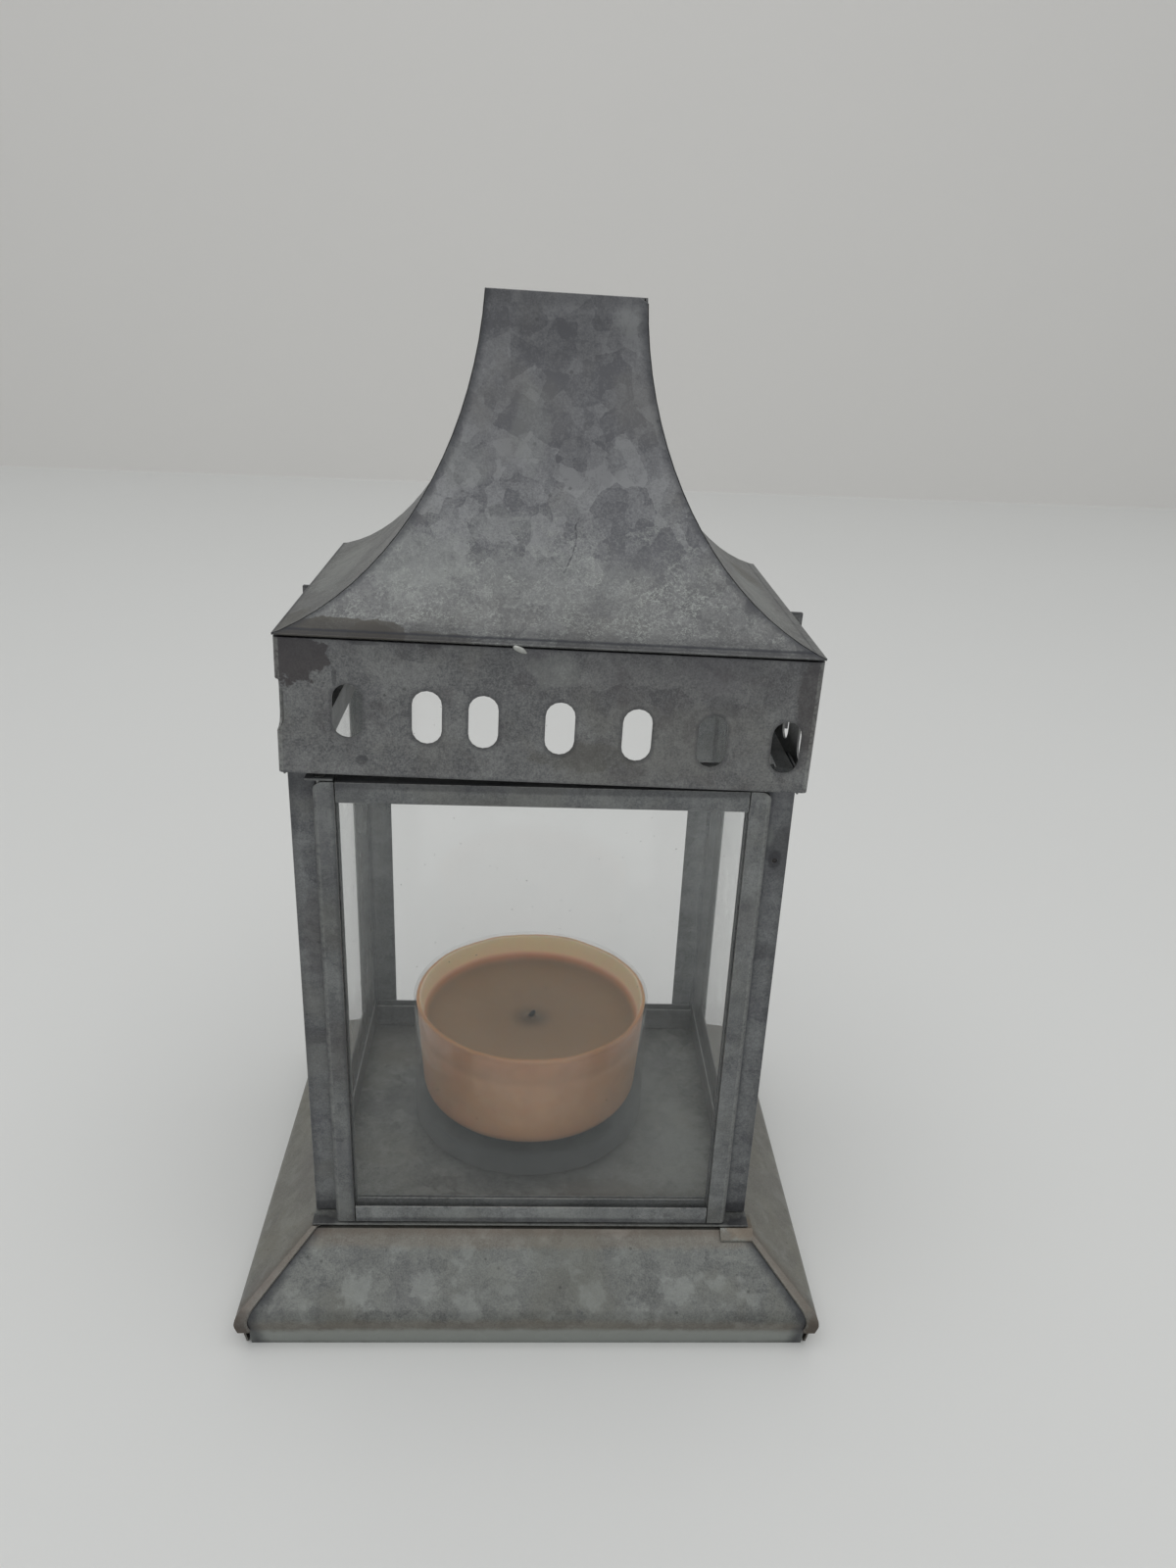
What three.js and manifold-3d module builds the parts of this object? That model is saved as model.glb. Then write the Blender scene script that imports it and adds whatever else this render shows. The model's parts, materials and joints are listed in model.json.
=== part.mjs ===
// A small sheet-metal candle lantern: a hollow sloped foot, a glazed body with a hinged glass door,
// a lift-off cap with a row of vent slots and a tall curved roof, and a candle in a pressed glass.
// Millimetres, +Z up, the front faces -Y, the origin is at the middle of the footprint.

import * as THREE from 'three';
import { mergeVertices } from 'three/addons/utils/BufferGeometryUtils.js';
import Module from 'manifold-3d';

const wasm = await Module();
wasm.setup();

// Sizes

// Stock and clearances
const sheet = 0.4;              // galvanised sheet
const solderGap = 0.3;          // between soldered or loosely fitted faces
const hipGap = 0.2;             // between two roof panels along a hip

// Foot
const footHeight = 21;          // floor to the top of the deck
const footFlare = 13.95;        // how far the skirt spreads past the deck
const skirtLip = 7.2;           // height of the widest line, where the sheet turns down into the lip
const skirtLipIn = 1.5;         // how far the lip leans in
const skirtBend = 4;            // radius of that turn
const skirtFlange = 4;          // flange under the deck
const lapTop = 1.0;             // side panel folded over the front panel, at the deck
const lapBottom = 2.2;          // the same at the lip
const hipOverlap = 0.05;        // the folded part runs this far past the hip, so that it joins
const tabLength = 6;            // soldered tab at the front right corner
const tabDrop = 1.9;
const cornerNotch = 2.6;        // lip cut back at each corner
const cornerNotchHeight = 4.6;
const deckSideLedge = 0.3;      // deck past the posts at the sides and back
const deckFrontLedge = 3.9;     // deck past the posts at the front, where the door stands

// Body
const bodyWidth = 92.5;
const bodyDepth = 71.4;
const bodyHeight = 104.6;       // posts, from the deck up
const postLeg = 8.9;
const backPostReturn = 3.5;     // the back posts turn round the sides only this far
const paneThickness = 1.8;
const paneClearance = 0.2;
const railHeight = 6;
const headerHeight = 6.7;
const sillHeight = 3.2;
const sillFoot = 1.4;
const rimHeight = 1.7;
const capGrip = 2.3;            // posts reach this far up inside the cap
const pinholeSize = 1;
const pinholeDrop = 18.9;       // from the top of the post
const pinholeIn = 2.3;          // from the outer edge of the post

// Door
const doorMargin = 4.75;         // from the outer edge of the post to the door
const doorBar = 4;              // visible width of the frame
const doorThickness = 3;
const doorGap = 0.5;            // running gap between the door and the posts
const doorCorner = 2.2;
const doorEdgeRadius = 1.0;
const doorPane = 1.5;
const doorHeadroom = 1.1;       // under the cap
const hingeWireRadius = 0.7;
const hingeHoleRadius = 1.0;
const earReach = 3.2;
const earWidth = 5;

// Cap
const seatLean = 1.04;          // degrees, the rim was soldered on askew and the cap stands on it
const capPlay = 0.6;            // from the posts to the cap at each side
const capShift = 0.3;           // the loose cap stands this far off the middle, towards the right
const bandHeight = 24.55;
const capLip = 0.5;             // band in front of the door face
const bandBend = 1.0;
const bandFlange = 3;
const seamReachLeft = 1.8;      // how far each standing seam stands out
const seamReachRight = 3.1;
const seamLeftFromFront = 37.0;
const seamRightFromFront = 34.6;
const slotWidth = 5.2;
const slotHeight = 9.8;
const slotRise = 10.4;          // slot centre above the lower edge of the band, at mid width
const slotDrift = -0.043;       // the hand-punched row falls towards the right
const slotFromRight = 5.1;      // first slot centre from the right corner
const slotSteps = [13.2, 13.4, 13.6, 13.4, 9.8, 13.7, 13.4];
const sideSlotStep = 13.4;
const backSlots = 7;

// Roof
const eaveOverhang = 0.1;
const eaveLedge = 1.15;         // flat ledge behind the eave
const eaveLedgeRise = 0.3;
const roofRise = 55.05;         // from the crease to the top
const roofTopWidth = 28;
const roofTopDepth = 28;
const roofFootPull = 18.8;      // how long the curve holds its lower and upper direction
const roofHeadPull = 25.2;
const roofFootAngle = 20.2;     // degrees above level
const roofHeadAngle = 87.1;
const roofSteps = 18;
const hipFlange = 3;
const topPlateDrop = 3;
const cornerClip = 1.5;         // the right front corner of the roof's top is knocked off
const cornerClipDrop = 0.9;

// Candle
const votiveX = -1.2;
const votiveBehind = 3.3;       // from the glass to the back rail
const votiveHeight = 31.7;
const votiveRadius = 27.4;
const votiveWall = 1.0;
const votiveFloor = 6.4;
const votiveFloorRadius = 25.2;
const votiveFloorBend = 4;
const votiveHeel = 1.6;
const votivePunt = 0.8;
const waxGap = 0.2;
const waxShell = 1.1;
const waxShellDrop = 0.4;       // below the rim of the glass
const waxPoolDrop = 7;          // surface of the wax below the rim
const wickRadius = 0.8;
const wickAbove = 1.8;
const sustainerRadius = 6;
const sustainerThickness = 0.4;
const collarHeight = 3;
const roundSteps = 64;

// Levels and planes that follow from the sizes

const deckTop = footHeight;
const deckUnder = deckTop - sheet;
const skirtTop = deckUnder - solderGap;
const halfWidth = bodyWidth / 2;
const halfDepth = bodyDepth / 2;
const deckHalfWidth = halfWidth + deckSideLedge;
const deckHalfDepth = (bodyDepth + deckFrontLedge + deckSideLedge) / 2;
const bodyY = (deckFrontLedge - deckSideLedge) / 2;
const bodyFoot = deckTop + solderGap;
const bodyTop = bodyFoot + bodyHeight;
const capBottom = bodyTop - capGrip;
const doorBottom = deckTop + solderGap;
const doorTop = capBottom - doorHeadroom;
const doorBack = bodyY - halfDepth - doorGap;
const doorFront = doorBack - doorThickness;
const capFront = doorFront - capLip;
const capBack = bodyY + halfDepth + solderGap + sheet;
const capHalfWidth = halfWidth + capPlay + sheet;
const capHalfDepth = (capBack - capFront) / 2;
const capY = (capBack + capFront) / 2;
const channel = paneThickness + 2 * paneClearance + 2 * sheet;
const channelOut = sheet + solderGap;           // from the face of the post to the channel
const sideChannelX = halfWidth - channelOut - channel / 2;
const backChannelY = halfDepth - channelOut - channel / 2;
const doorHalf = halfWidth - doorMargin;
const doorOpening = doorHalf - doorBar;
const hingeX = -(doorHalf - sheet - solderGap - hingeWireRadius);
const hingeY = (doorBack + doorFront) / 2;

// Materials

function finish(color, roughness, metalness, opacity = 1) {
  const material = new THREE.MeshStandardMaterial({ color, roughness, metalness });
  material.transparent = opacity < 1;
  material.opacity = opacity;
  return material;
}

const zinc = () => finish(0x757a79, 0.62, 0.75);
const darkZinc = () => finish(0x5e6163, 0.66, 0.72);
const footZinc = () => finish(0x7b7f7a, 0.68, 0.7);
const windowGlass = () => finish(0xdfe8e4, 0.06, 0, 0.22);
const pressedGlass = () => finish(0xe6ebe8, 0.05, 0, 0.3);
const wireSteel = () => finish(0x6a6a68, 0.5, 0.85);
const peachWax = () => finish(0xc98e66, 0.55, 0);
const charredCotton = () => finish(0x16130f, 0.95, 0);

// Solids from three.js geometry

const far = 500;                // cutting blocks reach past every piece

function toManifold(geometry) {
  let source = geometry.clone();
  source.deleteAttribute('normal');
  source.deleteAttribute('uv');
  source = mergeVertices(source, 1e-5);
  return new wasm.Manifold(new wasm.Mesh({
    numProp: 3,
    vertProperties: new Float32Array(source.attributes.position.array),
    triVerts: new Uint32Array(source.index.array),
  }));
}

function toGeometry(manifold) {
  const mesh = manifold.getMesh();
  const geometry = new THREE.BufferGeometry();
  geometry.setAttribute('position', new THREE.BufferAttribute(new Float32Array(mesh.vertProperties), 3));
  geometry.setIndex(new THREE.BufferAttribute(new Uint32Array(mesh.triVerts), 1));
  geometry.computeVertexNormals();
  return geometry;
}

function shapeOf(points) {
  return new THREE.Shape(points.map(([a, b]) => new THREE.Vector2(a, b)));
}

// An outline of (x, y) points raised from z0 to z1.
function raised(points, z0, z1) {
  const geometry = new THREE.ExtrudeGeometry(shapeOf(points), { depth: z1 - z0, bevelEnabled: false });
  geometry.translate(0, 0, z0);
  return toManifold(geometry);
}

// An outline of (y, z) points drawn out along x, from either end.
function alongX(points, x0, x1) {
  const geometry = new THREE.ExtrudeGeometry(shapeOf(points), { depth: Math.abs(x1 - x0), bevelEnabled: false });
  geometry.applyMatrix4(new THREE.Matrix4().set(0, 0, 1, Math.min(x0, x1), 1, 0, 0, 0, 0, 1, 0, 0, 0, 0, 0, 1));
  return toManifold(geometry);
}

// An outline of (x, z) points drawn out along y.
function alongY(points, y0, y1) {
  const geometry = new THREE.ExtrudeGeometry(shapeOf(points), { depth: y1 - y0, bevelEnabled: false });
  geometry.applyMatrix4(new THREE.Matrix4().set(1, 0, 0, 0, 0, 0, -1, y1, 0, 1, 0, 0, 0, 0, 0, 1));
  return toManifold(geometry);
}

// A block between two corners, given in any order.
function block(x0, x1, y0, y1, z0, z1) {
  const geometry = new THREE.BoxGeometry(Math.abs(x1 - x0), Math.abs(y1 - y0), Math.abs(z1 - z0));
  geometry.translate((x0 + x1) / 2, (y0 + y1) / 2, (z0 + z1) / 2);
  return toManifold(geometry);
}

function rod(x, y, z0, z1, radius, steps = 16) {
  const geometry = new THREE.CylinderGeometry(radius, radius, z1 - z0, steps);
  geometry.rotateX(Math.PI / 2);
  geometry.translate(x, y, (z0 + z1) / 2);
  return toManifold(geometry);
}

function turned(profile, steps = roundSteps) {
  const points = profile.map(([r, z]) => new THREE.Vector2(r, z));
  const geometry = new THREE.LatheGeometry([...points, points[0]], steps);
  geometry.rotateX(Math.PI / 2);
  return toManifold(geometry);
}

// Points of a quarter bend from angle a0 to a1 in degrees.
function arc(cx, cy, radius, a0, a1, steps) {
  const points = [];
  for (let i = 0; i <= steps; i += 1) {
    const angle = THREE.MathUtils.degToRad(a0 + ((a1 - a0) * i) / steps);
    points.push([cx + radius * Math.cos(angle), cy + radius * Math.sin(angle)]);
  }
  return points;
}

function obround(cx, cy, width, height, steps = 8) {
  const r = width / 2;
  const straight = (height - width) / 2;
  return [
    ...arc(cx, cy + straight, r, 0, 180, steps),
    ...arc(cx, cy - straight, r, 180, 360, steps),
  ];
}

// A path moved sideways by a distance, to the right of its direction, with mitred corners.
function offsetPath(path, distance) {
  const normals = [];
  for (let i = 0; i + 1 < path.length; i += 1) {
    const dx = path[i + 1][0] - path[i][0];
    const dy = path[i + 1][1] - path[i][1];
    const length = Math.hypot(dx, dy);
    normals.push([dy / length, -dx / length]);
  }
  return path.map(([x, y], i) => {
    const before = normals[Math.max(0, i - 1)];
    const after = normals[Math.min(normals.length - 1, i)];
    const scale = distance / (1 + before[0] * after[0] + before[1] * after[1]);
    return [x + (before[0] + after[0]) * scale, y + (before[1] + after[1]) * scale];
  });
}

// The section of a bent sheet that lies between two depths under its outer path.
function sheetSection(path, depth0, depth1) {
  return [...offsetPath(path, depth0), ...offsetPath(path, depth1).reverse()];
}

const lantern = new THREE.Group();
const body = new THREE.Group();
const door = new THREE.Group();
const seat = new THREE.Group();
const cap = new THREE.Group();
const roof = new THREE.Group();
const votive = new THREE.Group();
lantern.add(body, door, cap, votive);
body.add(seat);
cap.add(roof);
seat.position.z = capBottom;
seat.rotation.y = THREE.MathUtils.degToRad(seatLean);
cap.position.set(capShift, 0, capBottom);
cap.rotation.copy(seat.rotation);
roof.position.y = capY;

function piece(group, name, manifold, material) {
  const mesh = new THREE.Mesh(toGeometry(manifold), material);
  mesh.name = name;
  group.add(mesh);
  return mesh;
}

// Foot: four soldered skirt panels and the deck

// Angle in degrees of the point where a line from a point touches a circle, on its left or right.
function touchAngle(point, centre, radius, turn) {
  const dx = point[0] - centre[0];
  const dy = point[1] - centre[1];
  const swing = Math.acos(radius / Math.hypot(dx, dy));
  return THREE.MathUtils.radToDeg(Math.atan2(dy, dx) + turn * swing);
}

// Outer path of the skirt, as distance past the deck edge and height, from the flange down to the lip.
function skirtPath() {
  const edge = [0, skirtTop];
  const foot = [footFlare - skirtLipIn, 0];
  const centre = [footFlare - skirtBend, skirtLip];
  const upper = touchAngle(edge, centre, skirtBend, -1);
  const lower = touchAngle(foot, centre, skirtBend, 1);
  const turn = arc(centre[0], centre[1], skirtBend, upper, lower, 6);
  // The lip runs on under the ground, where every panel is cut level.
  const lipLean = (turn.at(-1)[0] - foot[0]) / turn.at(-1)[1];
  const below = [foot[0] - lipLean * 2 * sheet, -2 * sheet];
  return [[-skirtFlange, skirtTop], edge, ...turn, below];
}

const skirtReach = footFlare + 6;
const skirtCore = skirtFlange + 1;

// Plan of one side of the foot, between its two hips. Along is the half length of that side.
function hipPlan(across, along, side) {
  const a0 = across - skirtCore;
  const b0 = along - skirtCore;
  const a1 = across + skirtReach;
  const b1 = along + skirtReach;
  return [[side * a0, -b0], [side * a1, -b1], [side * a1, b1], [side * a0, b0]];
}

// Section points set out from an edge of the deck, on the given side of the axis.
function fromDeck(section, edge, side) {
  return section.map(([out, z]) => [side * (edge + out), z]);
}

function sideSkirt(side) {
  const outer = sheetSection(skirtPath(), 0, sheet);
  const reachY = deckHalfDepth + skirtReach;
  const plan = hipPlan(deckHalfWidth, deckHalfDepth, side);
  let panel = alongY(fromDeck(outer, deckHalfWidth, side), -reachY, reachY).intersect(raised(plan, 0, deckTop));
  // The panel folds round each hip and laps over the front and the back panel.
  for (const end of [-1, 1]) {
    const strip = [
      [side * (deckHalfWidth - skirtCore + hipOverlap), end * (deckHalfDepth - skirtCore)],
      [side * (deckHalfWidth + skirtReach + hipOverlap), end * (deckHalfDepth + skirtReach)],
      [side * (deckHalfWidth + skirtReach - lapBottom), end * (deckHalfDepth + skirtReach)],
      [side * (deckHalfWidth + footFlare - lapBottom), end * (deckHalfDepth + footFlare)],
      [side * (deckHalfWidth - lapTop), end * deckHalfDepth],
      [side * (deckHalfWidth - skirtCore - lapTop), end * (deckHalfDepth - skirtCore)],
    ];
    const faces = alongX(fromDeck(outer, deckHalfDepth, end), 0, side * (deckHalfWidth + skirtReach));
    panel = panel.add(faces.intersect(raised(strip, 0, deckTop)));
    if (side > 0 && end < 0) {
      const tab = block(deckHalfWidth - tabLength, deckHalfWidth + tabDrop / 2,
        -deckHalfDepth - tabDrop, -deckHalfDepth + skirtFlange, 0, deckTop);
      panel = panel.add(faces.intersect(tab));
    }
    const lipEnd = deckHalfDepth + footFlare - cornerNotch;
    panel = panel.subtract(block(-far, far, end * lipEnd, end * far, -far, cornerNotchHeight));
  }
  return panel;
}

function endSkirt(end) {
  const inner = sheetSection(skirtPath(), sheet + solderGap, 2 * sheet + solderGap);
  const reachX = deckHalfWidth + skirtReach;
  const plan = hipPlan(deckHalfDepth, deckHalfWidth, end).map(([a, b]) => [b, a]);
  let panel = alongX(fromDeck(inner, deckHalfDepth, end), -reachX, reachX).intersect(raised(plan, 0, deckTop));
  for (const side of [-1, 1]) {
    const lipEnd = deckHalfWidth + footFlare - cornerNotch;
    panel = panel.subtract(block(side * lipEnd, side * far, -far, far, -far, cornerNotchHeight));
  }
  return panel;
}

piece(body, 'skirt_front', endSkirt(-1), footZinc());
piece(body, 'skirt_back', endSkirt(1), footZinc());
piece(body, 'skirt_left', sideSkirt(-1), footZinc());
piece(body, 'skirt_right', sideSkirt(1), footZinc());

const hingeHole = rod(hingeX, hingeY, deckUnder - 1, capBottom, hingeHoleRadius);
const deck = block(-deckHalfWidth, deckHalfWidth, -deckHalfDepth, deckHalfDepth, deckUnder, deckTop);
piece(body, 'base_deck', deck.subtract(hingeHole), footZinc());

// Body: corner posts, glazing channels and panes

function post(side, end) {
  const x = side * halfWidth;
  const y = bodyY + end * halfDepth;
  const legX = x - side * postLeg;
  const legY = y - end * (end > 0 ? backPostReturn : postLeg);
  const inX = x - side * sheet;
  const inY = y - end * sheet;
  return raised([[x, y], [legX, y], [legX, inY], [inX, inY], [inX, legY], [x, legY]], bodyFoot, bodyTop);
}

piece(body, 'post_front_left', post(-1, -1), zinc());
const pinhole = toManifold(new THREE.CylinderGeometry(pinholeSize / 2, pinholeSize / 2, 4 * sheet, 12)
  .translate(halfWidth - pinholeIn, bodyY - halfDepth, bodyTop - pinholeDrop));
piece(body, 'post_front_right', post(1, -1).subtract(pinhole), zinc());
piece(body, 'post_back_left', post(-1, 1), zinc());
piece(body, 'post_back_right', post(1, 1), zinc());

// U channel section about a centre line, open upwards from z0 or, turned over, downwards from z1.
function channelSection(centre, z0, z1, opensUp) {
  const half = channel / 2;
  const outline = [
    [-half, 0], [half, 0], [half, z1 - z0], [half - sheet, z1 - z0],
    [half - sheet, sheet], [-half + sheet, sheet], [-half + sheet, z1 - z0], [-half, z1 - z0],
  ];
  return outline.map(([a, z]) => [centre + a, opensUp ? z0 + z : z1 - z]);
}

const sideRailHalf = halfDepth - channelOut;
const endRailHalf = sideChannelX - channel / 2 - solderGap;
const levels = {
  bottom: { z0: bodyFoot, z1: bodyFoot + railHeight, up: true },
  top: { z0: bodyTop - railHeight, z1: bodyTop, up: false },
};
for (const [level, { z0, z1, up }] of Object.entries(levels)) {
  for (const [name, side] of [['left', -1], ['right', 1]]) {
    const section = channelSection(side * sideChannelX, z0, z1, up);
    const rail = alongY(section, bodyY - sideRailHalf, bodyY + sideRailHalf);
    piece(body, `${level}_rail_${name}`, rail, zinc());
  }
  const section = channelSection(bodyY + backChannelY, z0, z1, up);
  piece(body, `${level}_rail_back`, alongX(section, -endRailHalf, endRailHalf), zinc());
}

const paneBottom = bodyFoot + sheet + solderGap;
const paneTop = bodyTop - sheet - solderGap;
const sidePaneHalf = sideRailHalf - solderGap;
for (const [name, side] of [['left', -1], ['right', 1]]) {
  const x = side * sideChannelX;
  piece(body, `pane_${name}`, block(x - paneThickness / 2, x + paneThickness / 2,
    bodyY - sidePaneHalf, bodyY + sidePaneHalf, paneBottom, paneTop), windowGlass());
}
piece(body, 'pane_back', block(-endRailHalf + solderGap, endRailHalf - solderGap,
  bodyY + backChannelY - paneThickness / 2, bodyY + backChannelY + paneThickness / 2,
  paneBottom, paneTop), windowGlass());

// Header and sill are angle strips lapped behind the front posts.
const lapFront = bodyY - halfDepth + channelOut;
const header = block(-endRailHalf, endRailHalf, lapFront, lapFront + sheet, bodyTop - headerHeight, bodyTop)
  .add(block(-endRailHalf, endRailHalf, lapFront, lapFront + sillFoot, bodyTop - sheet, bodyTop));
piece(body, 'front_header', header, zinc());
const sill = block(-endRailHalf, endRailHalf, lapFront, lapFront + sheet, bodyFoot, bodyFoot + sillHeight)
  .add(block(-endRailHalf, endRailHalf, lapFront, lapFront + sillFoot, bodyFoot, bodyFoot + sheet));
piece(body, 'front_sill', sill, zinc());

// The rim is one strip bent round the sides and the back. The cap stands on it. Its height is
// measured down from the lower edge of the cap.
const rimInX = halfWidth + solderGap;
const rimOutX = rimInX + sheet;
const rimInY = bodyY + halfDepth + solderGap;
const rimFrontY = bodyY - halfDepth;
const rimPlan = [
  [-rimOutX, rimFrontY], [-rimInX, rimFrontY], [-rimInX, rimInY], [rimInX, rimInY],
  [rimInX, rimFrontY], [rimOutX, rimFrontY], [rimOutX, rimInY + sheet], [-rimOutX, rimInY + sheet],
];
piece(seat, 'top_rim', raised(rimPlan, -solderGap - rimHeight, -solderGap), zinc());

// The ear over the door holds the upper end of the hinge wire.
const earUnder = doorTop + solderGap;
const ear = block(hingeX - earWidth / 2, hingeX + earWidth / 2, hingeY - earReach / 2,
  rimFrontY - solderGap, earUnder, earUnder + sheet);
piece(body, 'hinge_ear', ear.subtract(hingeHole), zinc());

// Door: a frame of folded channel round a pane, hung on a wire

const doorOutline = [
  ...arc(doorHalf - doorCorner, doorTop - doorCorner, doorCorner, 0, 90, 5),
  ...arc(-doorHalf + doorCorner, doorTop - doorCorner, doorCorner, 90, 180, 5),
  [-doorHalf, doorBottom],
  [doorHalf, doorBottom],
];
const doorBlank = alongY(doorOutline, doorFront - 1, doorBack + 1);

function stile(side) {
  const web = side * doorHalf;
  const lip = side * doorOpening;
  const r = doorEdgeRadius;
  const outer = [
    [lip, doorFront],
    ...arc(web - side * r, doorFront + r, r, 270, side > 0 ? 360 : 180, 4),
    ...arc(web - side * r, doorBack - r, r, side > 0 ? 0 : 180, 90, 4),
    [lip, doorBack],
    [lip, doorBack - sheet],
    [web - side * sheet, doorBack - sheet],
    [web - side * sheet, doorFront + sheet],
    [lip, doorFront + sheet],
  ];
  return raised(outer, doorBottom, doorTop).intersect(doorBlank);
}

function doorRail(z0, z1, opensUp) {
  const outline = [
    [doorFront, 0], [doorBack, 0], [doorBack, z1 - z0], [doorBack - sheet, z1 - z0],
    [doorBack - sheet, sheet], [doorFront + sheet, sheet], [doorFront + sheet, z1 - z0], [doorFront, z1 - z0],
  ];
  const section = outline.map(([y, z]) => [y, opensUp ? z0 + z : z1 - z]);
  const half = doorOpening - hipGap;
  return alongX(section, -half, half);
}

piece(door, 'door_stile_left', stile(-1), zinc());
piece(door, 'door_stile_right', stile(1), zinc());
piece(door, 'door_rail_top', doorRail(doorTop - doorBar, doorTop, false), zinc());
piece(door, 'door_rail_bottom', doorRail(doorBottom, doorBottom + doorBar, true), zinc());
const doorPaneHalf = -hingeX - hingeWireRadius - solderGap;
piece(door, 'door_pane', block(-doorPaneHalf, doorPaneHalf, hingeY - doorPane / 2, hingeY + doorPane / 2,
  doorBottom + sheet + solderGap, doorTop - sheet - solderGap), windowGlass());
piece(door, 'hinge_wire', rod(hingeX, hingeY, deckUnder, earUnder + sheet, hingeWireRadius), wireSteel());

// Cap: two bent strips joined by standing seams, vent slots, and the roof. Heights are measured up
// from the lower edge of the band.

const bandTop = bandHeight;

// Half of the band in plan, as a bent strip with an outward flange at each end.
function bandPlan(end, width) {
  const x = capHalfWidth;
  const y = end < 0 ? capFront : capBack;
  const seamGap = end * (solderGap / 2);
  const left = capFront + seamLeftFromFront + seamGap;
  const right = capFront + seamRightFromFront + seamGap;
  const turn = end * sheet;
  const bend = (sx) => {
    const centre = [sx * (x - bandBend), y - end * bandBend];
    const from = sx > 0 ? 0 : 180;
    return arc(centre[0], centre[1], bandBend, from, end > 0 ? 90 : (sx > 0 ? -90 : 270), 4);
  };
  return [
    [-x - seamReachLeft, left], [-x - seamReachLeft, left + turn], [-x, left + turn],
    ...bend(-1),
    ...bend(1).reverse(),
    [x, right + turn], [x + seamReachRight, right + turn], [x + seamReachRight, right],
    [x - width, right], [x - width, y - end * width], [-x + width, y - end * width], [-x + width, left],
  ];
}

const slotLevel = (x) => slotRise + slotDrift * x;

function frontSlot(x) {
  return alongY(obround(x, slotLevel(x), slotWidth, slotHeight), capFront - 1, capFront + 2 * sheet);
}

function backSlot(x) {
  return alongY(obround(x, slotLevel(x), slotWidth, slotHeight), capBack - 2 * sheet, capBack + 1);
}

function sideSlot(side, y, z) {
  const wall = side * capHalfWidth;
  return alongX(obround(y, z, slotWidth, slotHeight), wall + side, wall - side * 2 * sheet);
}

let bandFront = raised(bandPlan(-1, sheet), 0, bandTop)
  .add(raised(bandPlan(-1, bandFlange), bandTop - sheet, bandTop));
let slotX = capHalfWidth - slotFromRight;
const frontSlotXs = [slotX];
for (const step of slotSteps) {
  slotX -= step;
  frontSlotXs.push(slotX);
}
for (const x of frontSlotXs) {
  bandFront = bandFront.subtract(frontSlot(x));
}
// The row runs on round both corners as far as the seams.
const leftStart = -capHalfWidth - frontSlotXs.at(-1);
for (let run = leftStart; run < seamLeftFromFront - slotWidth; run += sideSlotStep) {
  bandFront = bandFront.subtract(sideSlot(-1, capFront + run, slotLevel(-capHalfWidth - run)));
}
for (let run = sideSlotStep - slotFromRight; run < seamRightFromFront - slotWidth; run += sideSlotStep) {
  bandFront = bandFront.subtract(sideSlot(1, capFront + run, slotLevel(capHalfWidth + run)));
}
piece(cap, 'band_front', bandFront, darkZinc());

let bandBack = raised(bandPlan(1, sheet), 0, bandTop)
  .add(raised(bandPlan(1, bandFlange), bandTop - sheet, bandTop));
for (let i = 0; i < backSlots; i += 1) {
  bandBack = bandBack.subtract(backSlot((i - (backSlots - 1) / 2) * sideSlotStep));
}
for (const [side, seam] of [[-1, seamLeftFromFront], [1, seamRightFromFront]]) {
  const room = capBack - capFront - seam;
  for (let run = sideSlotStep / 2; run < room - slotWidth; run += sideSlotStep) {
    bandBack = bandBack.subtract(sideSlot(side, capBack - run, slotLevel(side * capHalfWidth)));
  }
}
piece(cap, 'band_back', bandBack, darkZinc());

// Outer path of the roof at the sides, from the top down to the eave.
const eaveHalfWidth = capHalfWidth + eaveOverhang;
const eaveHalfDepth = capHalfDepth + eaveOverhang;
const eaveLevel = bandTop + solderGap + sheet;
const creaseLevel = eaveLevel + eaveLedgeRise;
const roofTop = creaseLevel + roofRise;
const footAngle = THREE.MathUtils.degToRad(roofFootAngle);
const headAngle = THREE.MathUtils.degToRad(roofHeadAngle);
const roofCurve = new THREE.CubicBezierCurve(
  new THREE.Vector2(roofTopWidth / 2, roofTop),
  new THREE.Vector2(roofTopWidth / 2 + roofHeadPull * Math.cos(headAngle),
    roofTop - roofHeadPull * Math.sin(headAngle)),
  new THREE.Vector2(eaveHalfWidth - eaveLedge - roofFootPull * Math.cos(footAngle),
    creaseLevel + roofFootPull * Math.sin(footAngle)),
  new THREE.Vector2(eaveHalfWidth - eaveLedge, creaseLevel),
);
const sideProfile = [
  ...roofCurve.getPoints(roofSteps).map((point) => [point.x, point.y]),
  [eaveHalfWidth, eaveLevel],
];
// The hips are straight in plan, so the front profile is the side one drawn in towards the top.
const hipRun = (eaveHalfDepth - roofTopDepth / 2) / (eaveHalfWidth - roofTopWidth / 2);
const frontProfile = sideProfile.map(([x, z]) => [roofTopDepth / 2 + (x - roofTopWidth / 2) * hipRun, z]);

// Plan of the roof between two hips, moved back from them by a gap.
function roofPlan(isSide, sign, gap) {
  const slack = gap * Math.hypot(1, hipRun);
  const at = (x) => roofTopDepth / 2 + (x - roofTopWidth / 2) * hipRun;
  const x0 = roofTopWidth / 2 - 4;
  const x1 = eaveHalfWidth + 6;
  if (isSide) {
    return [[sign * x0, -at(x0) + slack], [sign * x1, -at(x1) + slack],
      [sign * x1, at(x1) - slack], [sign * x0, at(x0) - slack]];
  }
  const shift = slack / hipRun;
  return [[-x0 + shift, sign * at(x0)], [-x1 + shift, sign * at(x1)],
    [x1 - shift, sign * at(x1)], [x0 - shift, sign * at(x0)]];
}

function placed(section, sign) {
  return section.map(([out, z]) => [sign * out, z]);
}

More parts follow.
